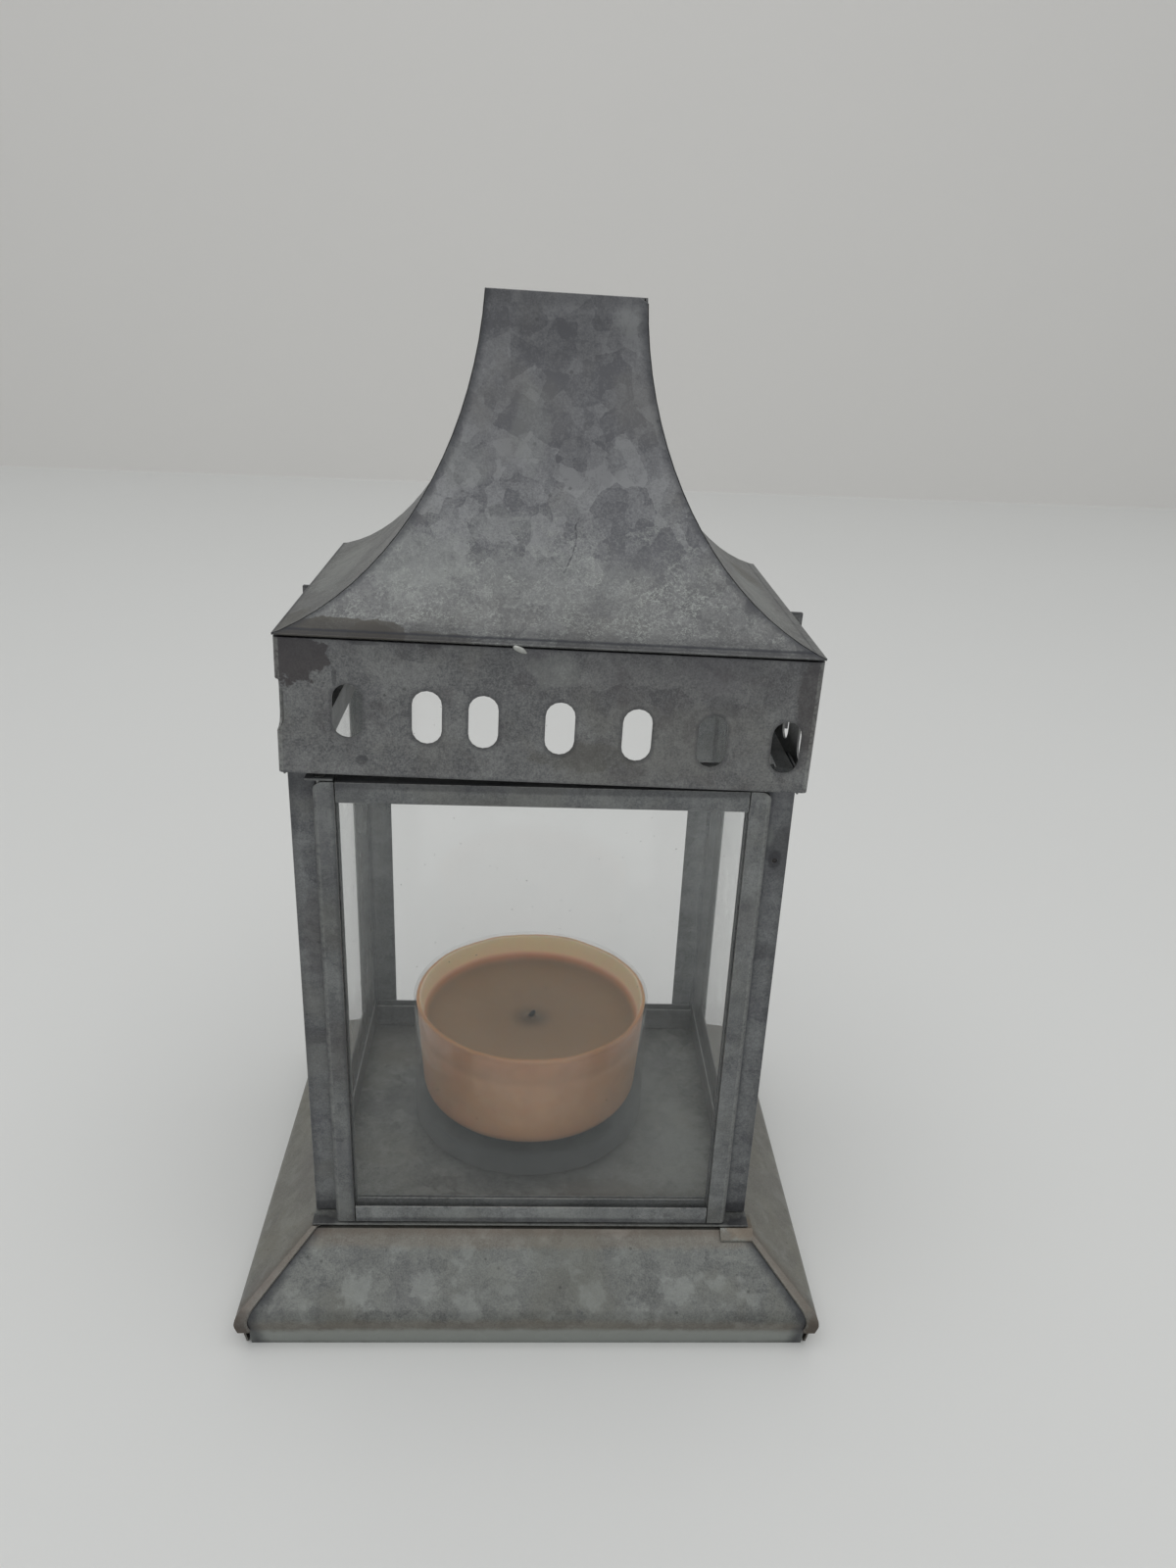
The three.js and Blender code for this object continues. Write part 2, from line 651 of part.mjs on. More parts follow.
function sideRoof(sign) {
  const section = placed(sheetSection(sideProfile, 0, sheet), sign);
  const plan = roofPlan(true, sign, hipGap / 2);
  let panel = alongY(section, -eaveHalfDepth - 5, eaveHalfDepth + 5)
    .intersect(raised(plan, bandTop, roofTop + 1));
  // A flange along each hip is folded under the front and the back panel.
  const under = offsetPath(sideProfile, sheet / 2);
  const filled = placed([...under, [under.at(-1)[0], bandTop], [0, bandTop], [0, roofTop]], sign);
  const inside = alongY(filled, -eaveHalfDepth, eaveHalfDepth);
  const keep = block(-far, far, -far, far, bandTop + solderGap, roofTop - topPlateDrop - solderGap);
  for (const end of [-1, 1]) {
    const flangeSection = placed(sheetSection(frontProfile, sheet + solderGap, 2 * sheet + solderGap), end);
    const sideArea = raised(roofPlan(true, sign, -hipFlange * 0.7), bandTop, roofTop + 1);
    const quarter = block(0, sign * far, 0, end * far, 0, far);
    const flange = alongX(flangeSection, -eaveHalfWidth - 5, eaveHalfWidth + 5)
      .intersect(sideArea).intersect(quarter).intersect(inside).intersect(keep);
    panel = panel.add(flange);
  }
  return panel;
}

function endRoof(sign) {
  const section = placed(sheetSection(frontProfile, 0, sheet), sign);
  const plan = roofPlan(false, sign, hipGap / 2);
  return alongX(section, -eaveHalfWidth - 5, eaveHalfWidth + 5)
    .intersect(raised(plan, bandTop, roofTop + 1));
}

// Wedge that knocks off the right front corner at the top.
const clipX = roofTopWidth / 2;
const clip = alongY([
  [clipX - cornerClip, roofTop], [clipX - cornerClip, roofTop + 1], [clipX + 1, roofTop + 1],
  [clipX + 1, roofTop - cornerClipDrop], [clipX, roofTop - cornerClipDrop],
], -roofTopDepth / 2 - 1, -roofTopDepth / 2 + cornerClip);

piece(roof, 'roof_front', endRoof(-1).subtract(clip), zinc());
piece(roof, 'roof_back', endRoof(1), zinc());
piece(roof, 'roof_left', sideRoof(-1), zinc());
piece(roof, 'roof_right', sideRoof(1).subtract(clip), zinc());

// The top is closed by a plate with its edges turned down inside the panels.
const plateX = roofTopWidth / 2 - sheet - solderGap;
const plateY = roofTopDepth / 2 - sheet - solderGap;
const topPlate = block(-plateX, plateX, -plateY, plateY, roofTop - topPlateDrop, roofTop)
  .subtract(block(-plateX + sheet, plateX - sheet, -plateY + sheet, plateY - sheet,
    roofTop - topPlateDrop - 1, roofTop - sheet));
piece(roof, 'roof_top_plate', topPlate, zinc());

// Candle in its glass

const votiveY = bodyY + backChannelY - channel / 2 - votiveBehind - votiveRadius;
votive.position.set(votiveX, votiveY, deckTop + solderGap);

const bore = votiveRadius - votiveWall;
const cavity = [
  [0, votiveFloor],
  ...arc(votiveFloorRadius - votiveFloorBend, votiveFloor + votiveFloorBend, votiveFloorBend, -90, 0, 6),
  [bore, votiveHeight - votiveWall / 2],
];
const glassProfile = [
  [0, votivePunt],
  [votiveRadius - 3 * votiveHeel, votivePunt],
  [votiveRadius - 2 * votiveHeel, 0],
  ...arc(votiveRadius - votiveHeel, votiveHeel, votiveHeel, -90, 0, 4),
  ...arc(votiveRadius - votiveWall / 2, votiveHeight - votiveWall / 2, votiveWall / 2, 0, 180, 6),
  ...cavity.slice(0, -1).reverse(),
];
piece(votive, 'votive_glass', turned(glassProfile), pressedGlass());

// The wax has burnt down to a pool inside a thin standing shell.
const waxFoot = votiveFloor + waxGap;
const waxTop = votiveHeight - waxShellDrop;
const waxPool = votiveHeight - waxPoolDrop;
const boreAt = (z) => votiveFloorRadius + (bore - votiveFloorRadius)
  * ((z - votiveFloor - votiveFloorBend) / (votiveHeight - votiveWall / 2 - votiveFloor - votiveFloorBend));
const collarRadius = wickRadius + waxGap + sustainerThickness;
const wickHole = wickRadius + waxGap;
const waxProfile = [
  [sustainerRadius + waxGap, waxFoot],
  ...arc(votiveFloorRadius - votiveFloorBend - waxGap, votiveFloor + votiveFloorBend, votiveFloorBend - waxGap,
    -90, 0, 6).map(([r, z]) => [r, z]),
  [boreAt(waxTop) - waxGap, waxTop],
  [boreAt(waxTop) - waxGap - waxShell, waxTop],
  [boreAt(waxPool) - waxGap - waxShell - 0.8, waxPool + 0.5],
  [boreAt(waxPool) - waxGap - waxShell - 3, waxPool],
  [wickHole, waxPool],
  [wickHole, waxFoot + collarHeight + waxGap],
  [collarRadius + waxGap, waxFoot + collarHeight + waxGap],
  [collarRadius + waxGap, waxFoot + sustainerThickness + waxGap],
  [sustainerRadius + waxGap, waxFoot + sustainerThickness + waxGap],
];
piece(votive, 'candle_wax', turned(waxProfile), peachWax());

const sustainerProfile = [
  [wickHole, waxFoot],
  [sustainerRadius, waxFoot],
  [sustainerRadius, waxFoot + sustainerThickness],
  [collarRadius, waxFoot + sustainerThickness],
  [collarRadius, waxFoot + collarHeight],
  [wickHole, waxFoot + collarHeight],
];
piece(votive, 'wick_sustainer', turned(sustainerProfile, 24), wireSteel());

const wickFoot = waxFoot + waxGap;
const wickPath = new THREE.CatmullRomCurve3([
  new THREE.Vector3(0, 0, wickFoot),
  new THREE.Vector3(0, 0, waxPool),
  new THREE.Vector3(0.1, 0, waxPool + wickAbove * 0.55),
  new THREE.Vector3(0.3, -0.1, waxPool + wickAbove),
]);
const wickShape = shapeOf(arc(0, 0, wickRadius, 0, 315, 7));
const wick = new THREE.ExtrudeGeometry(wickShape, { steps: 14, extrudePath: wickPath });
piece(votive, 'candle_wick', toManifold(wick), charredCotton());

export default lantern;
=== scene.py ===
"""Candle lantern: the looks of a small galvanised lantern with a candle in a pressed glass.

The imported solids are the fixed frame. Every sheet metal piece is a copy of its solid with its cut
edges rounded over, the candle and its glass are turned again with finer forms, and each piece has
its own procedural finish.
"""
import json
import math
from functools import reduce

import bmesh
import bpy
from bpy.props import FloatProperty, FloatVectorProperty, IntProperty, PointerProperty
from mathutils import Matrix, Vector, noise

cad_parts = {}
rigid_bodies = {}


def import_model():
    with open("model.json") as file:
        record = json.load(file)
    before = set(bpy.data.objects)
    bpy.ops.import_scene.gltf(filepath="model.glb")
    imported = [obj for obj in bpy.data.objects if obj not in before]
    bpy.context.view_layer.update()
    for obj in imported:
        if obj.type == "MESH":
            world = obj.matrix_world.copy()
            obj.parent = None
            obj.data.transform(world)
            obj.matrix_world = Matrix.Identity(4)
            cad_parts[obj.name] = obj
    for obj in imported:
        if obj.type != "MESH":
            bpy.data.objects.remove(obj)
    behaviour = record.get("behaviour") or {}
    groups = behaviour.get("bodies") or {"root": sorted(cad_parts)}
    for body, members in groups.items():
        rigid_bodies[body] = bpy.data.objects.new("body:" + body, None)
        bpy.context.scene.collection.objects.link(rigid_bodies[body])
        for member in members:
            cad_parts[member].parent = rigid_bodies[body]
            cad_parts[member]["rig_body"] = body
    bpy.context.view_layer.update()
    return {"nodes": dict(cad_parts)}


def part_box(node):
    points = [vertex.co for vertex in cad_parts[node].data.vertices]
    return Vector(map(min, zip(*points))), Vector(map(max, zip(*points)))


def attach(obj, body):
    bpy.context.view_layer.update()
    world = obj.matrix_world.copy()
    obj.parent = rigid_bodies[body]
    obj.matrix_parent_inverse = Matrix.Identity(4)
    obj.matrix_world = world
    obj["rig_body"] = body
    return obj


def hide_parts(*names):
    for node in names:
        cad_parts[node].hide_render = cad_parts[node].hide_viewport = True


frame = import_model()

bl_info = {
    "name": "Candle lantern",
    "version": (1, 0, 0),
    "blender": (4, 5, 0),
    "location": "3D View > Sidebar > Lantern",
    "description": "Finishes a galvanised candle lantern: sheet metal, glass, candle and stage",
    "category": "Object",
}

MM = 0.001


def colour(red, green, blue):
    """Display values from 0 to 255 as the linear colour that a socket takes."""
    shares = [value / 255 for value in (red, green, blue)]
    linear = [s / 12.92 if s <= 0.04045 else ((s + 0.055) / 1.055) ** 2.4 for s in shares]
    return (*linear, 1.0)


def toned(base, red=1.0, green=None, blue=None):
    """A colour made lighter, darker or tinted."""
    green = red if green is None else green
    blue = red if blue is None else blue
    return (base[0] * red, base[1] * green, base[2] * blue, 1.0)


def metres(values):
    """Millimetres as metres."""
    return tuple(value * MM for value in values)


# The finishes

class Level:
    """One output in a finish's nodes. Arithmetic on it adds Math nodes to the same finish."""

    def __init__(self, finish, socket):
        self.finish = finish
        self.socket = socket

    def maths(self, operation, *terms):
        return self.finish.maths(operation, *terms)

    def __add__(self, other):
        return self.maths("ADD", self, other)

    def __sub__(self, other):
        return self.maths("SUBTRACT", self, other)

    def __rsub__(self, other):
        return self.maths("SUBTRACT", other, self)

    def __mul__(self, other):
        return self.maths("MULTIPLY", self, other)

    def __truediv__(self, other):
        return self.maths("DIVIDE", self, other)

    def __rtruediv__(self, other):
        return self.maths("DIVIDE", other, self)

    def __pow__(self, other):
        return self.maths("POWER", self, other)

    def larger(self, other):
        return self.maths("MAXIMUM", self, other)

    def size(self):
        """Without its sign."""
        return self.maths("ABSOLUTE", self)

    def held(self):
        """Kept between 0 and 1."""
        settings = {"operation": "ADD", "use_clamp": True}
        return self.finish.add("ShaderNodeMath", settings, {0: self, 1: 0.0})

    def between(self, start, end):
        """Rises smoothly from 0 at start to 1 at end. Start may be the larger."""
        settings = {"interpolation_type": "SMOOTHSTEP"}
        return self.finish.add("ShaderNodeMapRange", settings, {0: self, 1: start, 2: end})


class Finish:
    """A procedural material laid out on Object coordinates, in metres, with its tint in skin."""

    def __init__(self, name, shift=(0, 0, 0), stretch=(1, 1, 1)):
        self.material = bpy.data.materials.new(name)
        self.material.use_nodes = True
        tree = self.material.node_tree
        tree.nodes.clear()
        self.nodes = tree.nodes
        self.links = tree.links
        self.place = self.add("ShaderNodeTexCoord", output="Object")
        values = {"Vector": self.place, "Location": shift, "Scale": stretch}
        self.pattern = self.add("ShaderNodeMapping", None, values)

    def add(self, kind, settings=None, values=None, output=0):
        """Adds a node, sets it up, fills its sockets with values or links, and gives one output."""
        node = self.nodes.new(kind)
        for name, value in (settings or {}).items():
            setattr(node, name, value)
        for name, value in (values or {}).items():
            if isinstance(value, Level):
                self.links.new(value.socket, node.inputs[name])
            else:
                node.inputs[name].default_value = value
        return Level(self, node.outputs[output])

    def maths(self, operation, *terms):
        return self.add("ShaderNodeMath", {"operation": operation}, dict(enumerate(terms)))

    def vector(self, operation, *terms, output=0):
        settings = {"operation": operation}
        return self.add("ShaderNodeVectorMath", settings, dict(enumerate(terms)), output)

    def length(self, vector):
        return self.vector("LENGTH", vector, output="Value")

    def part(self, vector, axis):
        return self.add("ShaderNodeSeparateXYZ", None, {0: vector}, axis)

    def off(self, point):
        """The way to each place on the piece from a point in millimetres."""
        return self.vector("SUBTRACT", self.place, metres(point))

    def scaled(self, stretch):
        """The pattern's coordinates stretched along the axes."""
        return self.add("ShaderNodeMapping", None, {"Vector": self.pattern, "Scale": stretch})

    def cloud(self, size, detail=2.0, rough=0.5, at=None, output="Fac"):
        """Soft noise with blotches of that size in millimetres."""
        values = {"Vector": at or self.pattern, "Scale": 1 / (size * MM)}
        values.update({"Detail": detail, "Roughness": rough})
        return self.add("ShaderNodeTexNoise", None, values, output)

    def grains(self, size, feature="F1", at=None, output="Distance", **extra):
        """Crystal grains of that size in millimetres."""
        values = {"Vector": at or self.pattern, "Scale": 1 / (size * MM), **extra}
        return self.add("ShaderNodeTexVoronoi", {"feature": feature}, values, output)

    def bent(self, size, reach, at=None):
        """The pattern's own coordinates, pushed about by noise so that nothing runs straight."""
        push = self.vector("SUBTRACT", self.cloud(size, 3.0, output="Color"), (0.5, 0.5, 0.5))
        push = self.vector("MULTIPLY", push, (reach * MM,) * 3)
        return self.vector("ADD", at or self.pattern, push)

    def threads(self, size, width, at=None):
        """Thin wandering lines, as of crystals grown out over the surface."""
        return (self.cloud(size, 3.0, 0.65, at) - 0.5).size().between(width, 0.0)

    def near(self, centre, reach, ragged, fray, soft=0.7):
        """1 inside an egg-shaped place on the piece, 0 outside it, its edge broken up by fray."""
        away = self.length(self.vector("DIVIDE", self.off(centre), metres(reach)))
        return (away + (fray - 0.5) * (2.6 * ragged)).between(1.0 + soft / 2, 1.0 - soft / 2)

    def beside(self, point, across, reach, fray):
        """1 on a seam's plane, fading to 0 at its reach in millimetres, unevenly as fray says."""
        away = self.vector("DOT_PRODUCT", self.off(point), across, output="Value")
        return (away.size() + (fray - 0.5) * (0.8 * reach * MM)).between(reach * MM, 0.0)

    def least(self, levels):
        return reduce(lambda one, other: self.maths("MINIMUM", one, other), levels)

    def line(self, points, width):
        """1 on a thin wandering line through points in millimetres, fading to 0 at its width."""
        place = self.bent(1.1, 0.45, self.place)

        def distance(start, end):
            along = Vector(end) - Vector(start)
            away = self.vector("SUBTRACT", place, metres(start))
            share = along / (along.length_squared * MM)
            share = self.vector("DOT_PRODUCT", away, tuple(share), output="Value").held()
            foot = self.shaded(tuple(along * MM), share)
            return self.length(self.vector("SUBTRACT", away, foot))

        nearest = self.least([distance(*ends) for ends in zip(points, points[1:])])
        return nearest.between(width * MM, width * 0.3 * MM)

    def round_slots(self, places, reach):
        """1 at the edge of the band's nearest slot, fading to 0 at its reach in millimetres."""
        def distance(x, z):
            away = self.off((x, 0.0, z))
            across = self.part(away, 0)
            along = (self.part(away, 2).size() - SLOT_STRAIGHT * MM).larger(0.0)
            return (across * across + along * along) ** 0.5

        nearest = self.least([distance(x, z) for x, z in places])
        return nearest.between((SLOT_RADIUS + reach) * MM, SLOT_RADIUS * MM)

    def shaded(self, tint, amount):
        """A colour made lighter or darker by a level."""
        return self.add("ShaderNodeVectorMath", {"operation": "SCALE"}, {0: tint, "Scale": amount})

    def blend(self, first, second, level):
        """The second colour over the first, as far as level says."""
        values = {0: level, 6: first, 7: second}
        return self.add("ShaderNodeMix", {"data_type": "RGBA"}, values, 2)

    def paint(self, tint, level):
        """Lays a colour over the skin, as far as level says."""
        self.skin = self.blend(self.skin, tint, level)

    def bump(self, height):
        """A normal from a height in metres."""
        values = {"Strength": 1.0, "Distance": 1.0, "Height": height}
        return self.add("ShaderNodeBump", None, values)

    def done(self, **values):
        """Closes the material with a Principled shader in the skin's colour and these values."""
        names = {name.replace("_", " "): value for name, value in values.items()}
        names["Base Color"] = self.skin
        shader = self.add("ShaderNodeBsdfPrincipled", None, names)
        end = self.nodes.new("ShaderNodeOutputMaterial")
        self.links.new(shader.socket, end.inputs["Surface"])
        return self.material


def settings_of(name):
    return getattr(bpy.context.scene, name)


# The colours of stains, grime and bloom, and of the painted shade and painted light laid with them.
PALE = colour(152, 156, 152)
DARK = colour(58, 58, 62)
OLIVE = colour(84, 82, 74)
PURPLE = colour(78, 74, 76)
TAN = colour(132, 116, 96)
SHADE = colour(50, 52, 58)
BROWN = colour(96, 84, 74)
TIDE = colour(76, 73, 67)
SOOTY = colour(60, 55, 51)
PLUM = colour(69, 65, 66)

# Slots across the front of the band: the middles as (x, z), half their straight length, the radius
# of their round ends and how far the dark halo round them reaches, all in millimetres.
SLOT_PLACES = (
    (-34.43, 136.13), (-20.74, 135.30), (-10.95, 134.70), (2.44, 133.88),
    (16.03, 133.05), (29.41, 132.23), (42.60, 131.43),
)
SLOT_STRAIGHT = 2.3
SLOT_RADIUS = 2.6
SLOT_HALO = 0.85

# The fine crack in the roof's front panel, from its upper end down, and its width in millimetres.
CRACK = (
    (5.0, -21.9, 167.7), (4.3, -22.6, 166.3), (4.5, -23.3, 165.0), (4.4, -24.0, 163.4),
    (3.9, -25.0, 161.8), (3.2, -25.9, 160.3), (2.4, -26.8, 158.9),
)
CRACK_WIDTH = 0.22

# Marks that sit in one place, stains and also painted light and shade: the middle and the reach
# along the axes in millimetres, the colour, how strong, how ragged and, where it differs from the
# usual, how soft their edges are.
MARKS_LIGHT_AND_SHADE = {
    "roof_front": [
        ((-24, -27, 160), (9, 14, 5), PALE, 0.24, 1.0, 0.4),
        ((0, -27, 158.0), (17, 10, 4), PALE, 0.13, 1.2, 0.4),
        ((-9, -22.5, 166), (5, 10, 3.2), PALE, 0.14, 1.0, 0.4),
        ((-4, -15, 182), (3, 12, 7), PALE, 0.16, 0.8, 0.3),
        ((-16, -19, 176), (4, 12, 4), PALE, 0.14, 0.8, 0.3),
        ((6, -17, 177), (6, 12, 4.5), DARK, 0.14, 0.7, 0.25),
        ((12.9, -14, 199.9), (2.6, 4, 1.8), PALE, 0.12, 0.6),
        ((2, -14, 197.2), (13, 10, 3.4), DARK, 0.16, 0.5, 0.6),
        ((-36.5, -36.0, 149.3), (10.5, 5, 2.6), TIDE, 0.80, 0.26, 0.07),
        ((-29.0, -36.0, 149.3), (5.0, 5, 2.5), TIDE, 0.80, 0.26, 0.07),
        ((-21.0, -36.8, 149.0), (9, 3, 1.2), TIDE, 0.50, 0.40, 0.10),
        ((35.6, -29.7, 154.6), (1.6, 4, 1.2), DARK, 0.5, 0.5),
        ((0, -15, 204.0), (20, 8, 2.2), DARK, 0.25, 0.3),
    ],
    "roof_left": [
        ((-45, -31, 150.0), (6, 6, 2.0), OLIVE, 0.5, 0.4),
        ((-40, 5, 152.0), (6, 20, 3.0), PALE, 0.3, 0.6),
    ],
    "roof_right": [
        ((40, -8, 152.0), (6, 16, 3.0), PALE, 0.3, 0.6),
        ((41, 14, 151.0), (7, 8, 2.0), OLIVE, 0.5, 0.4),
    ],
    "roof_back": [
        ((12, 27, 158), (13, 14, 6), PALE, 0.35, 0.6),
        ((-24, 35, 151), (14, 6, 2.0), OLIVE, 0.6, 0.4),
    ],
    "band_front": [
        ((-43.4, -37.9, 145.6), (6.4, 6, 4.3), PLUM, 0.80, 0.75, 0.18),
        ((-31, -37.9, 148.4), (2.6, 4, 0.45), DARK, 0.5, 0.7, 0.4),
        ((-20, -37.9, 148.2), (2.2, 4, 0.40), DARK, 0.4, 0.7, 0.4),
        ((-36.4, -37.9, 142.3), (0.4, 4, 1.6), DARK, 0.5, 0.3, 0.5),
        ((-32.4, -37.9, 127.0), (1.0, 4, 1.0), DARK, 0.5, 0.9, 0.4),
        ((1.0, -37.9, 144.4), (4.4, 4, 2.8), PALE, 0.28, 0.8, 0.5),
        ((24, -37.9, 142.5), (22, 6, 7), PURPLE, 0.20, 0.7),
        ((31, -37.9, 138.5), (2.4, 3, 2.2), DARK, 0.26, 0.5, 0.5),
        ((46.4, -37.9, 139), (2.7, 4, 10), PLUM, 0.60, 0.45, 0.5),
        ((7, -37.9, 128.6), (9, 4, 2.6), OLIVE, 0.30, 0.7, 0.4),
        ((-47, -20, 140), (4, 12, 8), PURPLE, 0.35, 0.6),
    ],
    "band_back": [
        ((20, 38.2, 144), (12, 6, 5), PURPLE, 0.5, 0.6),
        ((-36, 38.2, 128), (9, 6, 3), OLIVE, 0.35, 0.6),
        ((47, 12, 143), (4, 12, 5), PURPLE, 0.45, 0.6),
    ],
    "skirt_front": [
        ((0, -50.5, 5.4), (90, 6, 2.4), TAN, 0.24, 0.25),
        # Painted light: the turned-in lip, which lies in shade, painted pale.
        ((0, -50.5, 2.4), (90, 6, 2.6), PALE, 0.85, 0.25),
        ((-36, -47, 12.0), (3.8, 6, 2.6), PALE, 0.40, 1.1, 0.6),
        ((-22, -46, 12.6), (2.8, 6, 1.8), PALE, 0.32, 1.2, 0.6),
        ((-13, -48, 9.8), (2.4, 6, 2.2), PALE, 0.32, 1.2, 0.6),
        ((13, -47, 11.0), (2.6, 6, 2.0), PALE, 0.28, 1.2, 0.6),
        ((31, -46.5, 12.0), (3.6, 6, 1.9), PALE, 0.36, 1.1, 0.6),
        ((22, -48, 8.8), (2.2, 6, 2.4), PALE, 0.28, 1.2, 0.6),
        ((0, -39.0, 18.6), (90, 5, 1.5), TAN, 0.24, 0.3),
        ((0, -51, 0.3), (90, 6, 0.7), DARK, 0.06, 0.3),
    ],
    "skirt_right": [
        ((45.4, -37.8, 20.2), (3.0, 3, 1.8), TAN, 0.42, 0.7),
        ((41.6, -38.6, 19.2), (2.2, 2, 0.8), BROWN, 0.35, 0.6),
        ((59.5, -49.5, 5.0), (2.6, 4, 4.2), SOOTY, 0.85, 0.3),
        ((52, 0, 14), (14, 70, 12), TAN, 0.16, 0.5),
        ((60, 0, 0.8), (6, 90, 1.6), DARK, 0.4, 0.3),
    ],
    "skirt_left": [
        ((-59.5, -49.5, 5.0), (2.6, 4, 4.2), SOOTY, 0.85, 0.3),
        ((-52, 0, 14), (14, 70, 12), TAN, 0.16, 0.5),
        ((-60, 0, 0.8), (6, 90, 1.6), DARK, 0.4, 0.3),
    ],
    "skirt_back": [
        ((0, 50.5, 4.4), (90, 6, 2.4), BROWN, 0.25, 0.3),
        ((-20, 45, 12), (16, 8, 6), PALE, 0.2, 0.6),
    ],
    "base_deck": [
        # Painted light and shade: the shadow round the candle (first), a light patch to its right
        # (second and sixth), shade along the front edge (third) and at the posts' feet (fourth and
        # fifth); the browns are stains.
        ((-1.2, 3.1, 21), (31, 31, 3), DARK, 0.45, 0.3),
        ((24, -8, 21), (15, 22, 3), PALE, 0.34, 0.5),
        ((0, -36.5, 21), (60, 2.5, 3), DARK, 0.35, 0.3),
        ((-45.2, -37.6, 21), (3.4, 2.4, 3), DARK, 0.6, 0.5, 0.4),
        ((45.2, -37.6, 21), (3.4, 2.4, 3), DARK, 0.6, 0.5, 0.4),
        ((35, -16, 21), (6, 11, 3), PALE, 0.34, 0.6),
        ((16, -30, 21), (13, 6, 3), BROWN, 0.3, 0.6),
        ((-34, 26, 21), (12, 9, 3), BROWN, 0.3, 0.6),
    ],
    "post_front_left": [
        # Painted shade: the band's shadow at the top (first) and the shade at the foot (last).
        ((-43, -33.9, 121.5), (6, 4, 3.4), DARK, 0.5, 0.4),
        ((-43, -33.9, 88), (2.4, 4, 11), PURPLE, 0.35, 0.5),
        ((-43, -33.9, 66), (6, 4, 2.0), DARK, 0.35, 0.4),
        ((-43, -33.9, 22.4), (6, 4, 1.5), DARK, 0.5, 0.3),
    ],
    "post_front_right": [
        # Painted shade in and round the pinhole (first two) and at the foot (last).
        ((45, -33.9, 109), (2.6, 4, 6), DARK, 0.5, 0.4),
        ((43.95, -33.9, 107), (1.3, 4, 1.7), DARK, 0.7, 0.7, 0.5),
        ((43, -33.9, 87), (5, 4, 2.0), DARK, 0.4, 0.5),
        ((41.8, -33.9, 112), (1.4, 4, 2), PALE, 0.3, 0.4),
        ((43, -33.9, 22.4), (6, 4, 1.5), DARK, 0.5, 0.3),
    ],
    "door_rail_top": [
        # Painted shade under the band.
        ((0, -37, 122.0), (60, 3, 0.9), DARK, 0.45, 0.3),
        ((-37, -37, 120.5), (5, 3, 3), DARK, 0.3, 0.5),
    ],
    "door_rail_bottom": [
        # The first is painted shade where the rail meets the deck.
        ((0, -37, 21.6), (60, 3, 0.9), DARK, 0.5, 0.3),
        ((12, -37.4, 23.6), (9, 3, 1.4), PALE, 0.22, 0.6),
        ((-18, -37.4, 23.6), (8, 3, 1.4), PALE, 0.18, 0.6),
    ],
    "door_stile_left": [
        ((-39.5, -37.4, 66), (4, 3, 8), PURPLE, 0.3, 0.6),
        ((-39.5, -37.4, 100), (4, 3, 6), DARK, 0.2, 0.6),
    ],
    "door_stile_right": [
        ((39.5, -37.4, 74), (4, 3, 7), DARK, 0.25, 0.6),
        ((39.5, -37.4, 96), (4, 3, 5), PURPLE, 0.25, 0.6),
    ],
}
